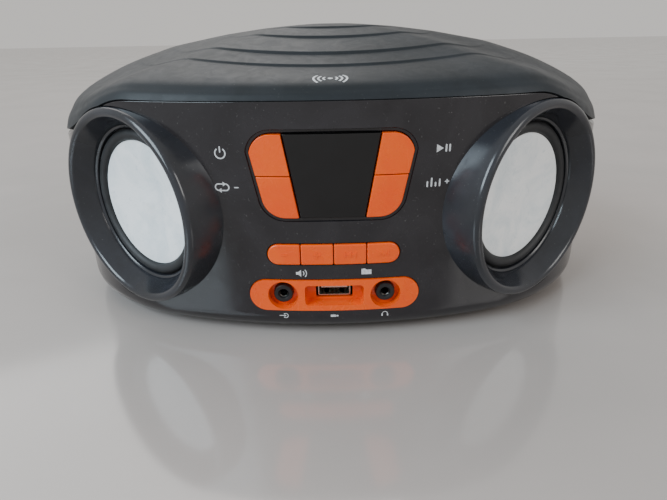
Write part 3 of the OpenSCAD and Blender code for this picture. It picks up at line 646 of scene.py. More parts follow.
# %% Rims
rim_profile = [(RIM_R + 0.9 * MM, -RIM_LENGTH), (RIM_R + 0.2 * MM, -LIP_R - 4 * MM)]
rim_profile += arc(RIM_R - LIP_R, -LIP_R, LIP_R, 0, 150, 14)
rim_profile += [(HORN_R + 1.6 * MM, HORN_Z + 4.4 * MM), (HORN_R + 1.3 * MM, HORN_Z + 4 * MM),
                (HORN_R + 1.1 * MM, HORN_Z + 3.2 * MM), (HORN_R + 0.3 * MM, HORN_Z + 2.8 * MM),
                (HORN_R, HORN_Z + 2.4 * MM), (HORN_R, HORN_Z),
                (RIM_R - 2.5 * MM, HORN_Z), (RIM_R - 2.5 * MM, -RIM_LENGTH)]
rims = {}
for side, word in ((-1, "left"), (1, "right")):
    rims[word] = lathe(f"rim_{word}", rim_profile, 160)
    place(rims[word], speaker_matrix(side))
    smooth(rims[word], 40)
print("rims", len(rims["left"].data.vertices), "corners each")

# %% [markdown]
# ## Cones and rubber surrounds
# The cone is a thin white sheet, pressed to a very shallow dish. The surround is a half roll of soft rubber
# that joins its edge to the frame and bends with the cone. Here it is a fixed ring, spun from its profile.

# %% Cones and surrounds
EDGE_Z = HORN_Z + 1.2 * MM


def cone_height(share):
    """Height of the cone's face from its middle (0) to its edge (1)."""
    return EDGE_Z - 2.6 * MM * (1 - share**2) ** 2 + 1.4 * MM * (1 - share) ** 3


face = [(CONE_R * i / 28, cone_height(i / 28)) for i in range(29)]
back = [(r, z - 0.6 * MM) for r, z in reversed(face)]
cone_profile = face + [(CONE_R + 0.15 * MM, EDGE_Z - 0.3 * MM)] + back
ROLL_R = 2.3 * MM
roll_mid = CONE_R + 0.2 * MM + ROLL_R
seat = HORN_Z + 0.5 * MM
roll_profile = [(CONE_R - 1.2 * MM, seat - 0.2 * MM), (CONE_R - 1.2 * MM, seat + 0.25 * MM)]
roll_profile += arc(roll_mid, seat + 0.3 * MM, ROLL_R, 180, 0, 18)
roll_profile += [(HORN_R + 1.2 * MM, HORN_Z + 0.55 * MM), (HORN_R + 1.2 * MM, HORN_Z - 0.1 * MM),
                 (roll_mid + ROLL_R - 0.4 * MM, HORN_Z - 0.1 * MM)]
roll_profile += arc(roll_mid, seat - 0.2 * MM, ROLL_R - 0.4 * MM, 0, 180, 18)
cones, rolls = {}, {}
for side, word in ((-1, "left"), (1, "right")):
    cones[word] = lathe(f"cone_face_{word}", cone_profile)
    rolls[word] = lathe(f"rubber_roll_{word}", roll_profile)
    for part in (cones[word], rolls[word]):
        place(part, speaker_matrix(side))
        smooth(part, 50)
print("cone", len(cones["left"].data.vertices), "corners, roll", len(rolls["left"].data.vertices))

# %% [markdown]
# ## Display window and keys
# The window is smoked acrylic cut from sheet, black until the display behind it lights. The keys are moulded
# orange ABS caps with softened edges, and each small cap has a raised sign. A real cap could be carved from
# one block, but all of them share the face's curve. So all are prisms, bevelled while they are flat and then
# laid on the face.


# %% Window and key caps
def face_part(name, outline, front, back, edge, segments=4):
    """A bevelled flat part laid on the front face."""
    part = prism(name, outline, front, back)
    reach = max(abs(x) for x, _ in outline)
    slice_mesh(part, (1, 0, 0), [3 * MM * i for i in range(-12, 13) if abs(3 * MM * i) < reach])
    round_edges(part, edge, segments)
    lay_on_face(part)
    return part


window = face_part("smoked_window", window_outline(), -0.2 * MM, 2.4 * MM, 0.3 * MM, 3)
smooth(window)
KEY_PROUD, KEY_DEPTH = 1.0 * MM, 6 * MM
caps = {}
for name, side, upper in (("key_power", -1, True), ("key_repeat", -1, False),
                          ("key_play", 1, True), ("key_equaliser", 1, False)):
    caps[name] = face_part("cap_" + name[4:], side_key_outline(side, upper), -KEY_PROUD, KEY_DEPTH, 0.8 * MM)
    smooth(caps[name])


def bar_sign(x, z, half_x, half_z):
    """A small raised bar with round ends, on the row of keys."""
    return stadium(half_x, 2 * half_z, x, z, 5) if half_x >= half_z else [
        (x + dz, z + dx) for dx, dz in stadium(half_z, 2 * half_x, steps=5)]


def arrow_sign(x, z, size, way):
    """A small raised triangle."""
    reach, half = way * size * 0.5, size * 0.6
    return [(x - reach, z - half), (x + reach, z), (x - reach, z + half)]


pitch = ROW_HALF / 2
thin = 0.3 * MM
SIGNS = [
    [bar_sign(-1.5 * pitch, ROW_Z, 1.4 * MM, thin)],
    [bar_sign(-0.5 * pitch, ROW_Z, 1.4 * MM, thin), bar_sign(-0.5 * pitch, ROW_Z, thin, 1.4 * MM)],
    [bar_sign(0.5 * pitch - 2.1 * MM, ROW_Z, thin, 1.3 * MM),
     arrow_sign(0.5 * pitch - 0.5 * MM, ROW_Z, 2 * MM, -1),
     arrow_sign(0.5 * pitch + 1.5 * MM, ROW_Z, 2 * MM, -1)],
    [arrow_sign(1.5 * pitch - 1.5 * MM, ROW_Z, 2 * MM, 1),
     arrow_sign(1.5 * pitch + 0.5 * MM, ROW_Z, 2 * MM, 1),
     bar_sign(1.5 * pitch + 2.1 * MM, ROW_Z, thin, 1.3 * MM)]]
for index, name in enumerate(("key_volume_down", "key_volume_up", "key_folder_back", "key_folder_next")):
    cap = face_part("cap_" + name[4:], row_key_outline(index), -KEY_PROUD + 0.2 * MM, KEY_DEPTH, 0.6 * MM)
    signs = [face_part("sign", outline, -KEY_PROUD - 0.02 * MM, -0.4 * MM, 0.08 * MM, 2)
             for outline in SIGNS[index]]
    caps[name] = join([cap, *signs], "cap_" + name[4:])
    smooth(caps[name])
print("caps:", len(caps))

# %% [markdown]
# ## Socket plate and sockets
# The plate is a moulded orange bar with two round pockets and a wide one. The round sockets are nylon barrels
# with a plated ring, and the memory-stick socket is a folded steel shell round a white tongue. The pockets
# are cut from the flat bar with cutters of their own shape, and the barrels are spun.

# %% Socket plate
JACK_X = 21 * MM
JACK_POCKET_R, JACK_POCKET = 6.2 * MM, 3.6 * MM
STICK_POCKET_HALF, STICK_POCKET_H, STICK_POCKET = 12 * MM, 9 * MM, 5.4 * MM
STICK_HALF, STICK_H = 6.8 * MM, 6 * MM
socket_plate = prism("socket_plate", stadium(PLATE_HALF, PLATE_H, z=PLATE_Z, steps=24), -0.6 * MM, 7 * MM)
slice_mesh(socket_plate, (1, 0, 0), [3 * MM * i for i in range(-11, 12)])
for side in (-1, 1):
    at = side * JACK_X, PLATE_Z
    cut(socket_plate,
        bar_along_y("cutter", *at, JACK_POCKET_R, -THROUGH, JACK_POCKET, steps=64),
        bar_along_y("cutter", *at, 4.1 * MM, 0, 9 * MM, steps=64))
pocket = rounded_box(STICK_POCKET_HALF, STICK_POCKET_H / 2, 1.6 * MM, z=PLATE_Z)
slot_hole = rounded_box(STICK_HALF + 0.9 * MM, STICK_H / 2 + 0.6 * MM, 0.6 * MM, z=PLATE_Z)
cut(socket_plate, prism("cutter", pocket, -THROUGH, STICK_POCKET), prism("cutter", slot_hole, 0, 9 * MM))
round_edges(socket_plate, 0.4 * MM, 3)
lay_on_face(socket_plate)
smooth(socket_plate)
print("socket_plate", len(socket_plate.data.vertices), "corners")

# %% Round sockets
jacks, jack_rings = {}, {}
nose = JACK_POCKET - 1.6 * MM
for side, word in ((-1, "line_in"), (1, "headphone")):
    barrel = lathe(f"{word}_barrel", [
        (1.8 * MM, 16 * MM), (1.8 * MM, nose + 0.6 * MM), (2.3 * MM, nose), (3.6 * MM, nose),
        (4 * MM, nose + 0.4 * MM), (4 * MM, 8 * MM), (5.4 * MM, 8 * MM), (5.4 * MM, 17 * MM),
        (0, 17 * MM), (0, 16 * MM)], 64)
    ring = lathe(f"{word}_ring", [
        (1.75 * MM, nose + 4 * MM), (1.75 * MM, nose + 1.2 * MM),
        (1.84 * MM, nose + 1.1 * MM), (1.84 * MM, nose + 4 * MM)], 48)
    for part in (barrel, ring):
        place(part, along_y(side * JACK_X, PLATE_Z, FRONT_Y))
        smooth(part, 40)
    jacks[word], jack_rings[word] = barrel, ring
print("round sockets:", list(jacks))

# %% Memory-stick socket
stick_front = STICK_POCKET + 0.4 * MM
outside = rounded_box(STICK_HALF, STICK_H / 2, 0.7 * MM, z=PLATE_Z)
inside = rounded_box(STICK_HALF - 0.5 * MM, STICK_H / 2 - 0.5 * MM, 0.4 * MM, z=PLATE_Z)
stick_shell = prism("stick_shell", outside, stick_front, stick_front + 14 * MM)
cut(stick_shell, prism("cutter", inside, stick_front - MM, stick_front + 13 * MM))
for x in (-3.2 * MM, 3.2 * MM):
    cut(stick_shell, prism("cutter", rounded_box(0.9 * MM, 0.8 * MM, 0.2 * MM, x=x, z=PLATE_Z - STICK_H / 2),
                         stick_front + 1.6 * MM, stick_front + 7 * MM))
round_edges(stick_shell, 0.12 * MM, 2)
stick_tongue = prism("stick_tongue", rounded_box(5.55 * MM, 0.92 * MM, 0.2 * MM, z=PLATE_Z + 1.1 * MM),
                   stick_front + 0.8 * MM, stick_front + 13.2 * MM)
round_edges(stick_tongue, 0.15 * MM, 2)
contacts = []
for x in (-3.5 * MM, -1 * MM, 1 * MM, 3.5 * MM):
    strip = rounded_box(0.5 * MM, 0.08 * MM, 0.03 * MM, x=x, z=PLATE_Z + 0.16 * MM, steps=1)
    contacts.append(prism("contact", strip, stick_front + 1.4 * MM, stick_front + 11 * MM))
stick_contacts = join(contacts, "stick_contacts")
for part in (stick_shell, stick_tongue, stick_contacts):
    place(part, Matrix.Translation((0, FRONT_Y, 0)))
    smooth(part)
print("stick socket ready")

# %% [markdown]
# ## Printed signs
# The real front is pad-printed in light grey beside each key. Here each place has a plain picture sign
# instead of words: power, repeat, play and pause, bars for tone, a loudspeaker, a folder, an arrow into a
# ring, a stick and headphones, and radio waves on the cover. They are ink, so they are skin-thin.

# %% Signs for the front face
INK = 0.05 * MM


def thick_line(x0, z0, x1, z1, width):
    """Outline of a straight stroke with round ends."""
    length, angle = math.hypot(x1 - x0, z1 - z0), math.atan2(z1 - z0, x1 - x0)
    cos, sin = math.cos(angle), math.sin(angle)
    local = stadium((length + width) / 2, width, x=length / 2, steps=4)
    return [(x0 + a * cos - b * sin, z0 + a * sin + b * cos) for a, b in local]


def ring_part(x, z, r, width, start, end, steps=16):
    """Outline of a curved stroke."""
    return arc(x, z, r + width / 2, start, end, steps) + arc(x, z, r - width / 2, end, start, steps)


def scaled(outlines, x, z, size=1.0):
    """Outlines drawn in millimetres round 0, moved to x and z in millimetres."""
    return [[((x + a * size) * MM, (z + b * size) * MM) for a, b in outline] for outline in outlines]


W = 0.42
power = [ring_part(0, 0, 1.7, W, 125, 415), thick_line(0, 0.4, 0, 2.1, W)]
repeat = [ring_part(-1.2, 0, 1.1, W, 90, 270), ring_part(1.2, 0, 1.1, W, -90, 90),
          thick_line(-1.2, 1.1, 0.4, 1.1, W), thick_line(1.2, -1.1, -0.4, -1.1, W),
          [(0.3, 1.9), (0.3, 0.3), (1.4, 1.1)], [(-0.3, -1.9), (-1.4, -1.1), (-0.3, -0.3)]]
play = [[(-2.2, -1.3), (0.1, 0), (-2.2, 1.3)],
        thick_line(1.0, -1.0, 1.0, 1.0, 0.55), thick_line(2.2, -1.0, 2.2, 1.0, 0.55)]
tone = [thick_line(x, -1.3, x, h, 0.55) for x, h in ((-2.2, 0.2), (-0.8, 1.3), (0.6, -0.2), (2.0, 0.8))]
loud = [[(-1.9, -0.5), (-1.1, -0.5), (-0.1, -1.3), (-0.1, 1.3), (-1.1, 0.5), (-1.9, 0.5)],
        ring_part(-0.1, 0, 1.0, 0.32, -50, 50, 8), ring_part(-0.1, 0, 1.9, 0.32, -45, 45, 8)]
folder = [[(-2, -1.2), (2, -1.2), (2, 0.8), (0, 0.8), (-0.5, 1.3), (-2, 1.3)]]
line_in = [ring_part(0.6, 0, 1.2, 0.32, 140, -140, 16), thick_line(-2.4, 0, 0.2, 0, 0.32),
           [(0.0, 0.7), (0.0, -0.7), (0.9, 0)]]
stick = [[(-1.9, -0.6), (0.6, -0.6), (0.6, 0.6), (-1.9, 0.6)],
         [(0.8, -0.38), (1.8, -0.38), (1.8, 0.38), (0.8, 0.38)]]
phones = [ring_part(0, -0.2, 1.35, 0.32, 0, 180, 14), rounded_box(0.34, 0.6, 0.15, -1.35, -0.6),
          rounded_box(0.34, 0.6, 0.15, 1.35, -0.6)]
minus = [thick_line(-0.7, 0, 0.7, 0, W)]
plus = minus + [thick_line(0, -0.7, 0, 0.7, W)]
PRINTED = (scaled(power, -41.5, 79.0, 1.15) + scaled(repeat, -42.0, 66.0, 1.15) + scaled(minus, -36.4, 66.0)
           + scaled(play, 41.5, 79.4, 1.15) + scaled(tone, 38.6, 66.6, 1.15) + scaled(plus, 43.8, 66.6)
           + scaled(loud, -13.1, 30.6, 1.15) + scaled(folder, 13.1, 30.9)
           + scaled(line_in, -21, 10.9, 0.85) + scaled(stick, 0, 10.9, 0.85) + scaled(phones, 21, 11.0, 0.85))
marks = [lay_on_face(prism("ink", outline, -INK, 0.02 * MM)) for outline in PRINTED]


# share of the plan at the middle of the cover's mark, and how much of it a millimetre up the slope takes
MARK_SHARE, SHARE_PER_MM = 0.903, 0.0081


def lay_on_cover(obj):
    """Lays a flat mark on the front slope of the cover, 7 mm or so above the seam."""

    def rule(x, y, z):
        k = MARK_SHARE - z / MM * SHARE_PER_MM
        slope = Vector(cover_place(k - 0.005, 0)) - Vector(cover_place(k + 0.005, 0))
        out = slope.cross(Vector((-1, 0, 0))).normalized()
        on = Vector(cover_place(k, math.radians(90 * x / k / HALF_U)))
        return on - out * y

    move_corners(obj, rule)
    return obj


waves = [rounded_box(0.6, 0.6, 0.55, steps=5)] + [
    ring_part(0, 0, r, 0.5, middle - 42, middle + 42, 12) for r in (1.7, 2.9, 4.1) for middle in (0, 180)]
marks += [lay_on_cover(prism("ink", outline, -INK, 0.02 * MM)) for outline in scaled(waves, 0, 0, 1.5)]
printed_signs = join(marks, "printed_signs")
tidy_mesh(printed_signs)
print("printed strokes:", len(PRINTED) + len(waves))

# %% [markdown]
# ## Aerial and feet
# The aerial is four drawn tubes, one in another, on a small turning knuckle, and each end is rolled in to
# hold the next. The feet are moulded rubber studs. Both are bodies of revolution, so their profiles are spun.
# The power inlet sits deep in its pocket, and its CAD node is shown as it is.

# %% Aerial
TUBE_RADII = {"aerial_tube": (2.9, 2.46), "aerial_middle": (2.42, 1.98), "aerial_inner": (1.94, 1.5)}
along_x = Matrix.Translation((PIVOT_X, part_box("aerial_tube")[0].y + AERIAL_R, PIVOT_Z)) @ Matrix.Rotation(
    math.pi / 2, 4, "Y")
aerial_parts = {}
for name, (outer, inner) in TUBE_RADII.items():
    low, high = (corner.x - PIVOT_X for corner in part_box(name))
    outer, inner = outer * MM, inner * MM
    aerial_parts[name] = lathe("rod" + name[6:], [
        (inner, low + MM), (outer - 0.3 * MM, low), (outer, low + 0.3 * MM), (outer, high - 0.6 * MM),
        (outer - 0.12 * MM, high - 0.2 * MM), (inner + 0.1 * MM, high), (inner, high - 0.2 * MM)], 64)
low, high = (corner.x - PIVOT_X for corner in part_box("aerial_tip"))
knob = high - 5 * MM
tip_profile = [(0, low), (1.3 * MM, low), (1.46 * MM, low + 0.2 * MM), (1.46 * MM, knob),
               (2.5 * MM, knob), (AERIAL_R, knob + 0.4 * MM), (AERIAL_R, high - 1.6 * MM)]
tip_profile += arc(1.3 * MM, high - 1.6 * MM, 1.6 * MM, 0, 90, 8) + [(0, high)]
aerial_parts["aerial_tip"] = lathe("rod_tip", tip_profile, 64)
for part in aerial_parts.values():
    place(part, along_x)
    smooth(part, 40)
print("aerial:", list(aerial_parts))

# %% Feet
FOOT_R, FEET_X, FEET_Y = 6.5 * MM, 66 * MM, 65 * MM
feet = []
for x in (-FEET_X, FEET_X):
    for y in (MID_Y - FEET_Y, MID_Y + FEET_Y):
        foot = lathe("foot", [(0, 0), (5.7 * MM, 0), (6.2 * MM, 0.2 * MM), (FOOT_R, 0.7 * MM),
                              (FOOT_R, FOOT), (0, FOOT)], 64)
        feet.append(place(foot, Matrix.Translation((x, y, 0))))
stud_feet = join(feet, "stud_feet")
smooth(stud_feet, 30)
print("feet", len(stud_feet.data.vertices), "corners")

# %% [markdown]
# ## Finishes
# Each finish is named for the real material and how it was made. One helper adds a shader node, sets its
# settings and constants, and makes its links. Every pattern is worked out in metres of the object itself,
# so a grain of 0.3 mm is 0.3 mm on every part.


# %% Shader helpers
def colour(code):
    """An sRGB hex colour as linear values."""
    parts = [int(code[i:i + 2], 16) / 255 for i in (1, 3, 5)]
    return (*(c / 12.92 if c <= 0.04045 else ((c + 0.055) / 1.055) ** 2.4 for c in parts), 1)


def add(material, kind, inputs=(), **settings):
    """Adds a shader node. An input takes a constant, a socket, or the first live output of another node."""
    made = material.node_tree.nodes.new("ShaderNode" + kind)
    for key, value in settings.items():
        setattr(made, key, value)
    for key, value in dict(inputs).items():
        if isinstance(value, bpy.types.Node):
            value = next(output for output in value.outputs if output.enabled)
        if isinstance(value, bpy.types.NodeSocket):
            material.node_tree.links.new(value, made.inputs[key])
        else:
            made.inputs[key].default_value = value
    return made


def new_material(name):
    """An empty material, and the object's own coordinates in metres."""
    material = bpy.data.materials.new(name)
    material.use_nodes = True
    material.node_tree.nodes.clear()
    return material, add(material, "TexCoord").outputs["Object"]


def close(material, inputs):
    """Ends a material with its surface and its output."""
    add(material, "OutputMaterial", {"Surface": add(material, "BsdfPrincipled", inputs)})
    return material


print("shader helpers ready")

# %% [markdown]
# ## Plastics
# Polished ABS has a wavy skin a few micrometres deep, wipe marks that dull it in patches, and dust. The
# cover's mould is fine-blasted, so its skin is a grain of about 0.3 mm. The back is spark-eroded, which
# is coarser. Orange ABS is coloured right through, and light enters it a little. All share one recipe: two
# close colours in patches 24 mm across, specks of dust under 1 mm, and a gloss wiped in 7 mm strokes. The
# inputs 0, 6 and 7 of a colour mix are its factor and its two colours.


# %% Moulded plastics
def moulded(name, base, worn, rough, grain, depth, dust=0.25, subsurface=0.0, gloss=0.5):
    """A moulded skin: fresh and worn colours, a (low, high) roughness, and a grain with its depth."""
    material, spot = new_material(name)
    patches = add(material, "TexNoise", {
        "Vector": spot, "Scale": 1 / (24 * MM), "Detail": 4, "Roughness": 0.6, "Distortion": 0.6})
    aged = add(material, "MapRange", {"Value": patches, "From Min": 0.35, "From Max": 0.7})
    body = add(material, "Mix", {0: aged, 6: colour(base), 7: colour(worn)}, data_type="RGBA")
    motes = add(material, "TexNoise", {
        "Vector": spot, "Scale": 1 / (0.9 * MM), "Detail": 3, "Roughness": 0.7})
    specks = add(material, "MapRange", {"Value": motes, "From Min": 0.66, "From Max": 0.74, "To Max": dust})
    dusty = add(material, "Mix", {0: specks, 6: body, 7: colour("#a9a8a4")}, data_type="RGBA")
    wiped = add(material, "TexNoise", {
        "Vector": spot, "Scale": 1 / (7 * MM), "Detail": 5, "Roughness": 0.65, "Distortion": 1.2})
    dull = add(material, "MapRange", {
        "Value": wiped, "From Min": 0.3, "From Max": 0.75, "To Min": rough[0], "To Max": rough[1]})
    grains = add(material, "TexNoise", {"Vector": spot, "Scale": 1 / grain, "Detail": 2, "Roughness": 0.5})
    skin = add(material, "Bump", {"Height": grains, "Distance": depth})
    swell = add(material, "TexNoise", {"Vector": spot, "Scale": 1 / (6 * MM), "Detail": 1, "Roughness": 0.4})
    wave = add(material, "Bump", {"Height": swell, "Distance": 0.012 * MM, "Strength": 0.6, "Normal": skin})
    return close(material, {
        "Base Color": dusty, "Roughness": dull, "Normal": wave, "IOR": 1.53, "Specular IOR Level": gloss,
        "Subsurface Weight": subsurface, "Subsurface Scale": 0.6 * MM})


# black ABS from a polished mould: a deep black that mirrors the room softly, hazy where it was wiped
polished_abs = moulded("polished_black_ABS_moulded", "#1a181b", "#262427", (0.06, 0.26), 0.8 * MM, 0.002 * MM)
# grey ABS from a fine-blasted mould: an even sheen with no reflections
satin_abs = moulded("satin_grey_ABS_moulded", "#1f2326", "#262a2e", (0.40, 0.52), 0.3 * MM, 0.008 * MM, 0.12,
                    gloss=0.18)
# black ABS from a brushed mould: a little duller than the face, with long highlights round the lips; its base is a
# lighter, bluish black than the face's, a painted reflection of the floor and wall
rim_abs_painted_reflection = moulded("brushed_black_ABS_painted_reflection", "#212327", "#2a2c32", (0.13, 0.26), 0.5 * MM, 0.001 * MM, 0.15)
# black ABS from a spark-eroded mould: a dry, pitted black
textured_abs = moulded("textured_black_ABS_moulded", "#1d1e20", "#252628", (0.42, 0.55), 0.35 * MM, 0.03 * MM,
                       0.2)
# orange ABS from a half-polished mould: a warm colour from just under a smooth skin
orange_abs = moulded("orange_ABS_moulded", "#e24c04", "#e65a0c", (0.22, 0.32), 0.5 * MM, 0.002 * MM, 0.05,
                     subsurface=0.06)
# nylon 66, as for the barrels of sockets: black and slightly waxy
nylon = moulded("black_nylon_66_moulded", "#101113", "#18191b", (0.34, 0.5), 0.4 * MM, 0.01 * MM, 0.1)
# white liquid-crystal polymer, as for the tongue of the stick socket: a chalky off-white
white_lcp = moulded("white_LCP_moulded", "#dedcd4", "#d2cfc4", (0.35, 0.45), 0.3 * MM, 0.004 * MM, 0.1)
print("plastics:", [m.name for m in bpy.data.materials])

# %% [markdown]
# ## Cones, rubber, window and ink
# The cone is a white lacquered sheet with rubbed, bluish smudges. The surround is butyl rubber with a soft
# bloom. The window is smoked acrylic, a flat dark sheet with hairline scratches. The ink is a thin pad
# print that lets a little of the black through.

# %% Cone
# lacquered polymer sheet: nearly white, with cool handling marks in 16 mm clouds and 5 mm streaks
cone_white, spot = new_material("white_lacquered_polymer_cone")
cloud = add(cone_white, "TexNoise", {
    "Vector": spot, "Scale": 1 / (16 * MM), "Detail": 6, "Roughness": 0.62, "Distortion": 0.8})
streak = add(cone_white, "TexNoise", {
    "Vector": spot, "Scale": 1 / (5 * MM), "Detail": 5, "Roughness": 0.7, "Distortion": 2.0})
motes = add(cone_white, "TexNoise", {"Vector": spot, "Scale": 1 / (0.8 * MM), "Detail": 3, "Roughness": 0.7})
clouded = add(cone_white, "MapRange", {"Value": cloud, "From Min": 0.42, "From Max": 0.66})
shade = add(cone_white, "Mix", {0: clouded, 6: colour("#f4f7f8"), 7: colour("#dde6ea")}, data_type="RGBA")
rubbed = add(cone_white, "MapRange", {"Value": streak, "From Min": 0.56, "From Max": 0.74, "To Max": 0.5})
shade = add(cone_white, "Mix", {0: rubbed, 6: shade, 7: colour("#b9c6cc")}, data_type="RGBA")
specks = add(cone_white, "MapRange", {"Value": motes, "From Min": 0.68, "From Max": 0.74, "To Max": 0.3})
shade = add(cone_white, "Mix", {0: specks, 6: shade, 7: colour("#8d8f8e")}, data_type="RGBA")
dull = add(cone_white, "MapRange", {
    "Value": streak, "From Min": 0.3, "From Max": 0.7, "To Min": 0.34, "To Max": 0.52})
pulp = add(cone_white, "TexNoise", {"Vector": spot, "Scale": 1 / (0.6 * MM), "Detail": 3, "Roughness": 0.6})
skin = add(cone_white, "Bump", {"Height": pulp, "Distance": 0.012 * MM})
close(cone_white, {"Base Color": shade, "Roughness": dull, "Normal": skin, "IOR": 1.5})
print("cone:", cone_white.name)

# %% Rubber
# moulded butyl rubber: soft black, greyed in places by its own wax
rubber, spot = new_material("black_butyl_rubber_moulded")
wax = add(rubber, "TexNoise", {
    "Vector": spot, "Scale": 1 / (8 * MM), "Detail": 5, "Roughness": 0.6, "Distortion": 0.5})
bloom = add(rubber, "MapRange", {"Value": wax, "From Min": 0.4, "From Max": 0.75})
shade = add(rubber, "Mix", {0: bloom, 6: colour("#1b1c1e"), 7: colour("#2c2d2f")}, data_type="RGBA")
dull = add(rubber, "MapRange", {"Value": bloom, "To Min": 0.5, "To Max": 0.68})
grains = add(rubber, "TexNoise", {"Vector": spot, "Scale": 1 / (0.25 * MM), "Detail": 3, "Roughness": 0.6})
skin = add(rubber, "Bump", {"Height": grains, "Distance": 0.02 * MM})
close(rubber, {"Base Color": shade, "Roughness": dull, "Normal": skin, "IOR": 1.5})
print("rubber:", rubber.name)

# %% Smoked window
# smoked acrylic cut from sheet: a flat, almost black gloss with smears and hairline scratches
smoked, spot = new_material("smoked_acrylic_cut_sheet")
smear = add(smoked, "TexNoise", {
    "Vector": spot, "Scale": 1 / (12 * MM), "Detail": 4, "Roughness": 0.6, "Distortion": 1.5})
smeared = add(smoked, "MapRange", {"Value": smear, "From Min": 0.3, "From Max": 0.8})
shade = add(smoked, "Mix", {0: smeared, 6: colour("#060607"), 7: colour("#0c0b0d")}, data_type="RGBA")
dull = add(smoked, "MapRange", {
    "Value": smear, "From Min": 0.3, "From Max": 0.8, "To Min": 0.05, "To Max": 0.14})
stretched = add(smoked, "Mapping", {"Vector": spot, "Rotation": (0, 0.5, 0), "Scale": (1, 1, 14)})
hairs = add(smoked, "TexNoise", {"Vector": stretched, "Scale": 1 / (4 * MM), "Detail": 4, "Roughness": 0.6})
scratched = add(smoked, "MapRange", {"Value": hairs, "From Min": 0.62, "From Max": 0.66})
skin = add(smoked, "Bump", {"Height": scratched, "Distance": 0.001 * MM})
close(smoked, {"Base Color": shade, "Roughness": dull, "Normal": skin, "IOR": 1.49})
print("window:", smoked.name)

# %% Ink
# pad-printed ink: a pale matt grey, thin enough to break up at 0.7 mm
ink, spot = new_material("pale_grey_ink_pad_printed")
breaks = add(ink, "TexNoise", {"Vector": spot, "Scale": 1 / (0.7 * MM), "Detail": 4, "Roughness": 0.65})
worn = add(ink, "MapRange", {"Value": breaks, "From Min": 0.35, "From Max": 0.7})
shade = add(ink, "Mix", {0: worn, 6: colour("#d6d7d8"), 7: colour("#a2a3a5")}, data_type="RGBA")
dull = add(ink, "MapRange", {"Value": worn, "To Min": 0.4, "To Max": 0.6})
skin = add(ink, "Bump", {"Height": worn, "Distance": 0.004 * MM})
close(ink, {"Base Color": shade, "Roughness": dull, "Normal": skin, "IOR": 1.5})
print("ink:", ink.name)

# %% [markdown]
# ## Metals, boards and the parts inside
# The inside is seen only when the door is out, but each part still has its own finish: nickel and chrome
# with a fine drawn or tumbled grain, glass-fibre board with solder mask, wound copper and printed sleeves.


# %% Metals
def metal(name, base, worn, rough, grain, depth, stretch=(1, 1, 1)):
    """A bare or plated metal, with its grain stretched by the given scale."""
    material, spot = new_material(name)
    drawn = add(material, "Mapping", {"Vector": spot, "Scale": stretch})
    lines = add(material, "TexNoise", {"Vector": drawn, "Scale": 1 / grain, "Detail": 4, "Roughness": 0.6})
    stain = add(material, "TexNoise", {
        "Vector": spot, "Scale": 1 / (9 * MM), "Detail": 4, "Roughness": 0.6, "Distortion": 0.8})
    aged = add(material, "MapRange", {"Value": stain, "From Min": 0.4, "From Max": 0.75})
    shade = add(material, "Mix", {0: aged, 6: colour(base), 7: colour(worn)}, data_type="RGBA")
    dull = add(material, "MapRange", {
        "Value": lines, "From Min": 0.3, "From Max": 0.7, "To Min": rough[0], "To Max": rough[1]})
    skin = add(material, "Bump", {"Height": lines, "Distance": depth})
    return close(material, {"Base Color": shade, "Metallic": 1.0, "Roughness": dull, "Normal": skin})


# brass tube, chrome plated after drawing: bright and cool, with faint lines along the rod
chrome = metal("chrome_plated_brass_drawn", "#d9dadc", "#c5c6c9", (0.06, 0.18), 0.5 * MM, 0.001 * MM,
               stretch=(0.05, 1, 1))
# steel strip, nickel plated and folded: a warm grey with rolling lines
nickel = metal("nickel_plated_steel_folded", "#c3c0b8", "#a9a69d", (0.2, 0.38), 0.6 * MM, 0.003 * MM,
               stretch=(1, 0.2, 1))
# zinc plated steel, pressed: a dull blue-grey with slight spangle
zinc = metal("zinc_plated_steel_pressed", "#aeb1b3", "#8d9092", (0.28, 0.45), 0.8 * MM, 0.006 * MM)
# phosphor bronze, gold flashed: small warm glints
gold = metal("gold_flashed_bronze_stamped", "#d9b15c", "#c79a45", (0.2, 0.34), 0.4 * MM, 0.002 * MM)
# enamelled copper wire, wound in turns of 0.2 mm: a brown-red ribbed band
copper = metal("enamelled_copper_wound", "#b5651d", "#8f4a14", (0.25, 0.4), 0.2 * MM, 0.03 * MM)
# aluminium can in a printed sleeve: a dark blue metallic sheen
sleeve = metal("aluminium_can_sleeved", "#26324a", "#1c2538", (0.3, 0.45), 1.2 * MM, 0.004 * MM)
print("metals ready")

# %% Boards, chips, cloth and batteries
# solder mask printed over woven glass: a glossy green that shows the weave
board = moulded("green_solder_mask_on_glass_fibre", "#1f4a2c", "#1a3f26", (0.3, 0.42), 0.8 * MM, 0.012 * MM,
                0.1)
# transfer-moulded epoxy: a flat, sandy black
chip = moulded("black_epoxy_transfer_moulded", "#17181a", "#202123", (0.45, 0.6), 0.15 * MM, 0.015 * MM, 0.1)
# cotton cloth stiffened with phenolic resin and hot pressed: a matt straw yellow
cloth = moulded("phenolic_cotton_cloth_pressed", "#a8823c", "#94702f", (0.7, 0.85), 0.5 * MM, 0.06 * MM, 0.1)
# PVC sleeve shrunk on the cell: a slate blue with a tight gloss
wrap = moulded("PVC_sleeve_shrunk_on_cell", "#3b4a5c", "#334152", (0.2, 0.32), 1.0 * MM, 0.004 * MM, 0.1)
# laminated display glass: a dim olive mirror
lcd_glass = moulded("display_glass_laminated", "#20261f", "#272e25", (0.06, 0.12), 1.0 * MM, 0.001 * MM, 0.05)
print("materials:", len(bpy.data.materials))

# %% [markdown]
# ## Giving out finishes and bodies
# Every visible skin rides on its CAD body and stands for its CAD node. Each other CAD node is shown as it
# is, with a finish by its slot in the record.

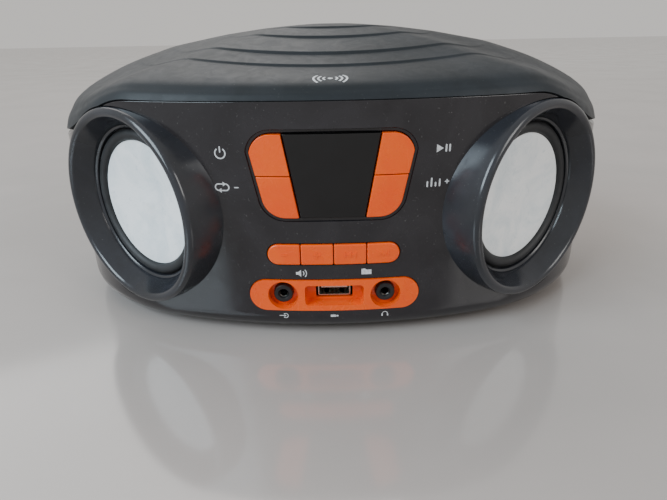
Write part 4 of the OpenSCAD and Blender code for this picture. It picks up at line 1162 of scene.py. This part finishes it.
# %% Skins
# skin, finish, body, slot, the CAD nodes it stands for. The record has no slot for ink, for the stick's tongue
# or for its contacts, and they take the one that is nearest in colour.
SKINS = [
    (front_shell, polished_abs, "cabinet", "gloss_black", ["front_cabinet"]),
    (rear_shell, textured_abs, "cabinet", "satin_black", ["rear_cabinet"]),
    (rear_fittings, textured_abs, "cabinet", "satin_black", []),
    (cover_shell, satin_abs, "cabinet", "cover_grey", ["top_cover"]),
    (door_panel, textured_abs, "door", "satin_black", ["battery_door"]),
    (window, smoked, "cabinet", "smoked_window", ["display_window"]),
    (socket_plate, orange_abs, "cabinet", "orange_keys", ["port_plate"]),
    (jacks["line_in"], nylon, "cabinet", "dark_plastic", ["aux_jack"]),
    (jacks["headphone"], nylon, "cabinet", "dark_plastic", ["phones_jack"]),
    (jack_rings["line_in"], nickel, "cabinet", "plated_steel", []),
    (jack_rings["headphone"], nickel, "cabinet", "plated_steel", []),
    (stick_shell, nickel, "cabinet", "plated_steel", ["usb_port"]),
    (stick_tongue, white_lcp, "cabinet", "white_cone", []),
    (stick_contacts, gold, "cabinet", "copper_wire", []),
    (printed_signs, ink, "cabinet", "white_cone", []),
    (stud_feet, rubber, "cabinet", "foot_rubber", ["rubber_feet"]),
    (aerial_parts["aerial_tube"], chrome, "aerial_rod", "aerial_chrome", ["aerial_tube"]),
    (aerial_parts["aerial_middle"], chrome, "aerial_second", "aerial_chrome", ["aerial_middle"]),
    (aerial_parts["aerial_inner"], chrome, "aerial_third", "aerial_chrome", ["aerial_inner"]),
    (aerial_parts["aerial_tip"], chrome, "aerial_last", "aerial_chrome", ["aerial_tip"]),
]
SKINS += [(cap, orange_abs, name, "orange_keys", [name]) for name, cap in caps.items()]
for word in ("left", "right"):
    SKINS += [(rims[word], rim_abs_painted_reflection, "cabinet", "gloss_black", [f"bezel_{word}"]),
              (cones[word], cone_white, f"{word}_cone", "white_cone", [f"cone_{word}"])]
for obj, material, body, slot, stands_for in SKINS:
    obj.data.materials.clear()
    obj.data.materials.append(material)
    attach(obj, body)
    if stands_for:
        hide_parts(*stands_for)
print("skins:", len(SKINS))

# %% The rubber rolls
# Each roll takes the rubber finish and stands in for its CAD surround, and its place is baked into its
# corners.
for side, word in ((-1, "left"), (1, "right")):
    roll = rolls[word]
    roll.data.materials.append(rubber)
    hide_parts(f"surround_{word}")
    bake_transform(roll)

# %% The other CAD nodes
INSIDE = {
    "satin_black": textured_abs, "display_glass": lcd_glass, "dark_plastic": nylon, "circuit_board": board,
    "plated_steel": nickel, "pressed_steel": zinc, "aerial_chrome": chrome, "copper_wire": copper,
    "spider_cloth": cloth, "battery_wrap": wrap}
BY_NAME = {"board_chips": chip, "capacitors": sleeve, "battery_contacts": nickel, "aerial_knuckle": chrome}
slot_of = {part["node"]: part["material_slot"] for part in frame["record"]["subparts"]}
shown = {name: obj for name, obj in frame["nodes"].items() if not obj.hide_render}
for name, obj in shown.items():
    slot = slot_of[name]
    obj.data.materials.clear()
    obj.data.materials.append(BY_NAME.get(name, INSIDE[slot]))
print("CAD nodes shown:", len(shown), "in slots", sorted({slot_of[name] for name in shown}))

# %% [markdown]
# ## Floor and light
# The player stands on a pale, polished floor in a bright room, and the floor runs far enough back to meet the
# wall of light behind. Three large soft lights stand round it, as windows would: one above and behind, which
# draws the cover's tiers, a strong cool one on the left and a weak one on the right. They are large so that
# the polished face shows soft reflections and no hard spots.

# %% Floor
# polished stone tile: clouded pale colour, a wet-looking reflection that blurs with distance
FLOOR_SIDE = 30
bpy.ops.object.select_all(action="DESELECT")
bpy.ops.mesh.primitive_plane_add(size=FLOOR_SIDE)
floor = bpy.context.object
floor.name = floor.data.name = "floor"
tile, spot = new_material("pale_polished_floor")
cloud = add(tile, "TexNoise", {
    "Vector": spot, "Scale": 1 / (120 * MM), "Detail": 4, "Roughness": 0.55, "Distortion": 0.4})
stained = add(tile, "MapRange", {"Value": cloud, "From Min": 0.35, "From Max": 0.7})
shade = add(tile, "Mix", {0: stained, 6: colour("#a8a19d"), 7: colour("#a09a96")}, data_type="RGBA")
dull = add(tile, "MapRange", {
    "Value": cloud, "From Min": 0.3, "From Max": 0.8, "To Min": 0.09, "To Max": 0.16})
fine = add(tile, "TexNoise", {"Vector": spot, "Scale": 1 / (1.2 * MM), "Detail": 3, "Roughness": 0.6})
relief = add(tile, "Bump", {"Height": fine, "Distance": 0.002 * MM})
close(tile, {"Base Color": shade, "Roughness": dull, "Normal": relief, "IOR": 1.75})
floor.data.materials.append(tile)
print("floor ready")

# %% Lights
world = bpy.data.worlds.new("soft_room")
world.use_nodes = True
world.node_tree.nodes["Background"].inputs["Color"].default_value = colour("#e6e3df")
world.node_tree.nodes["Background"].inputs["Strength"].default_value = 0.85
bpy.context.scene.world = world
AIM = Vector((0, 0, 70 * MM))
for name, at, size, watts in (
        ("window_above", (-0.60, 1.10, 1.30), (1.6, 1.0), 12),
        ("fill_left", (-1.0, -0.8, 0.9), (0.9, 0.9), 30),
        ("fill_right", (1.1, -0.9, 0.8), (0.7, 0.7), 9)):
    bpy.ops.object.light_add(type="AREA", location=at)
    light = bpy.context.object
    light.name = name
    light.data.shape = "RECTANGLE"
    light.data.size, light.data.size_y = size
    light.data.energy = watts
    light.data.color = colour("#dceefa" if name == "fill_left" else "#f6f4f2")[:3]
    light.rotation_euler = (AIM - Vector(at)).to_track_quat("-Z", "Y").to_euler()

# %% [markdown]
# ## End

# %% Finish
print("scene built")
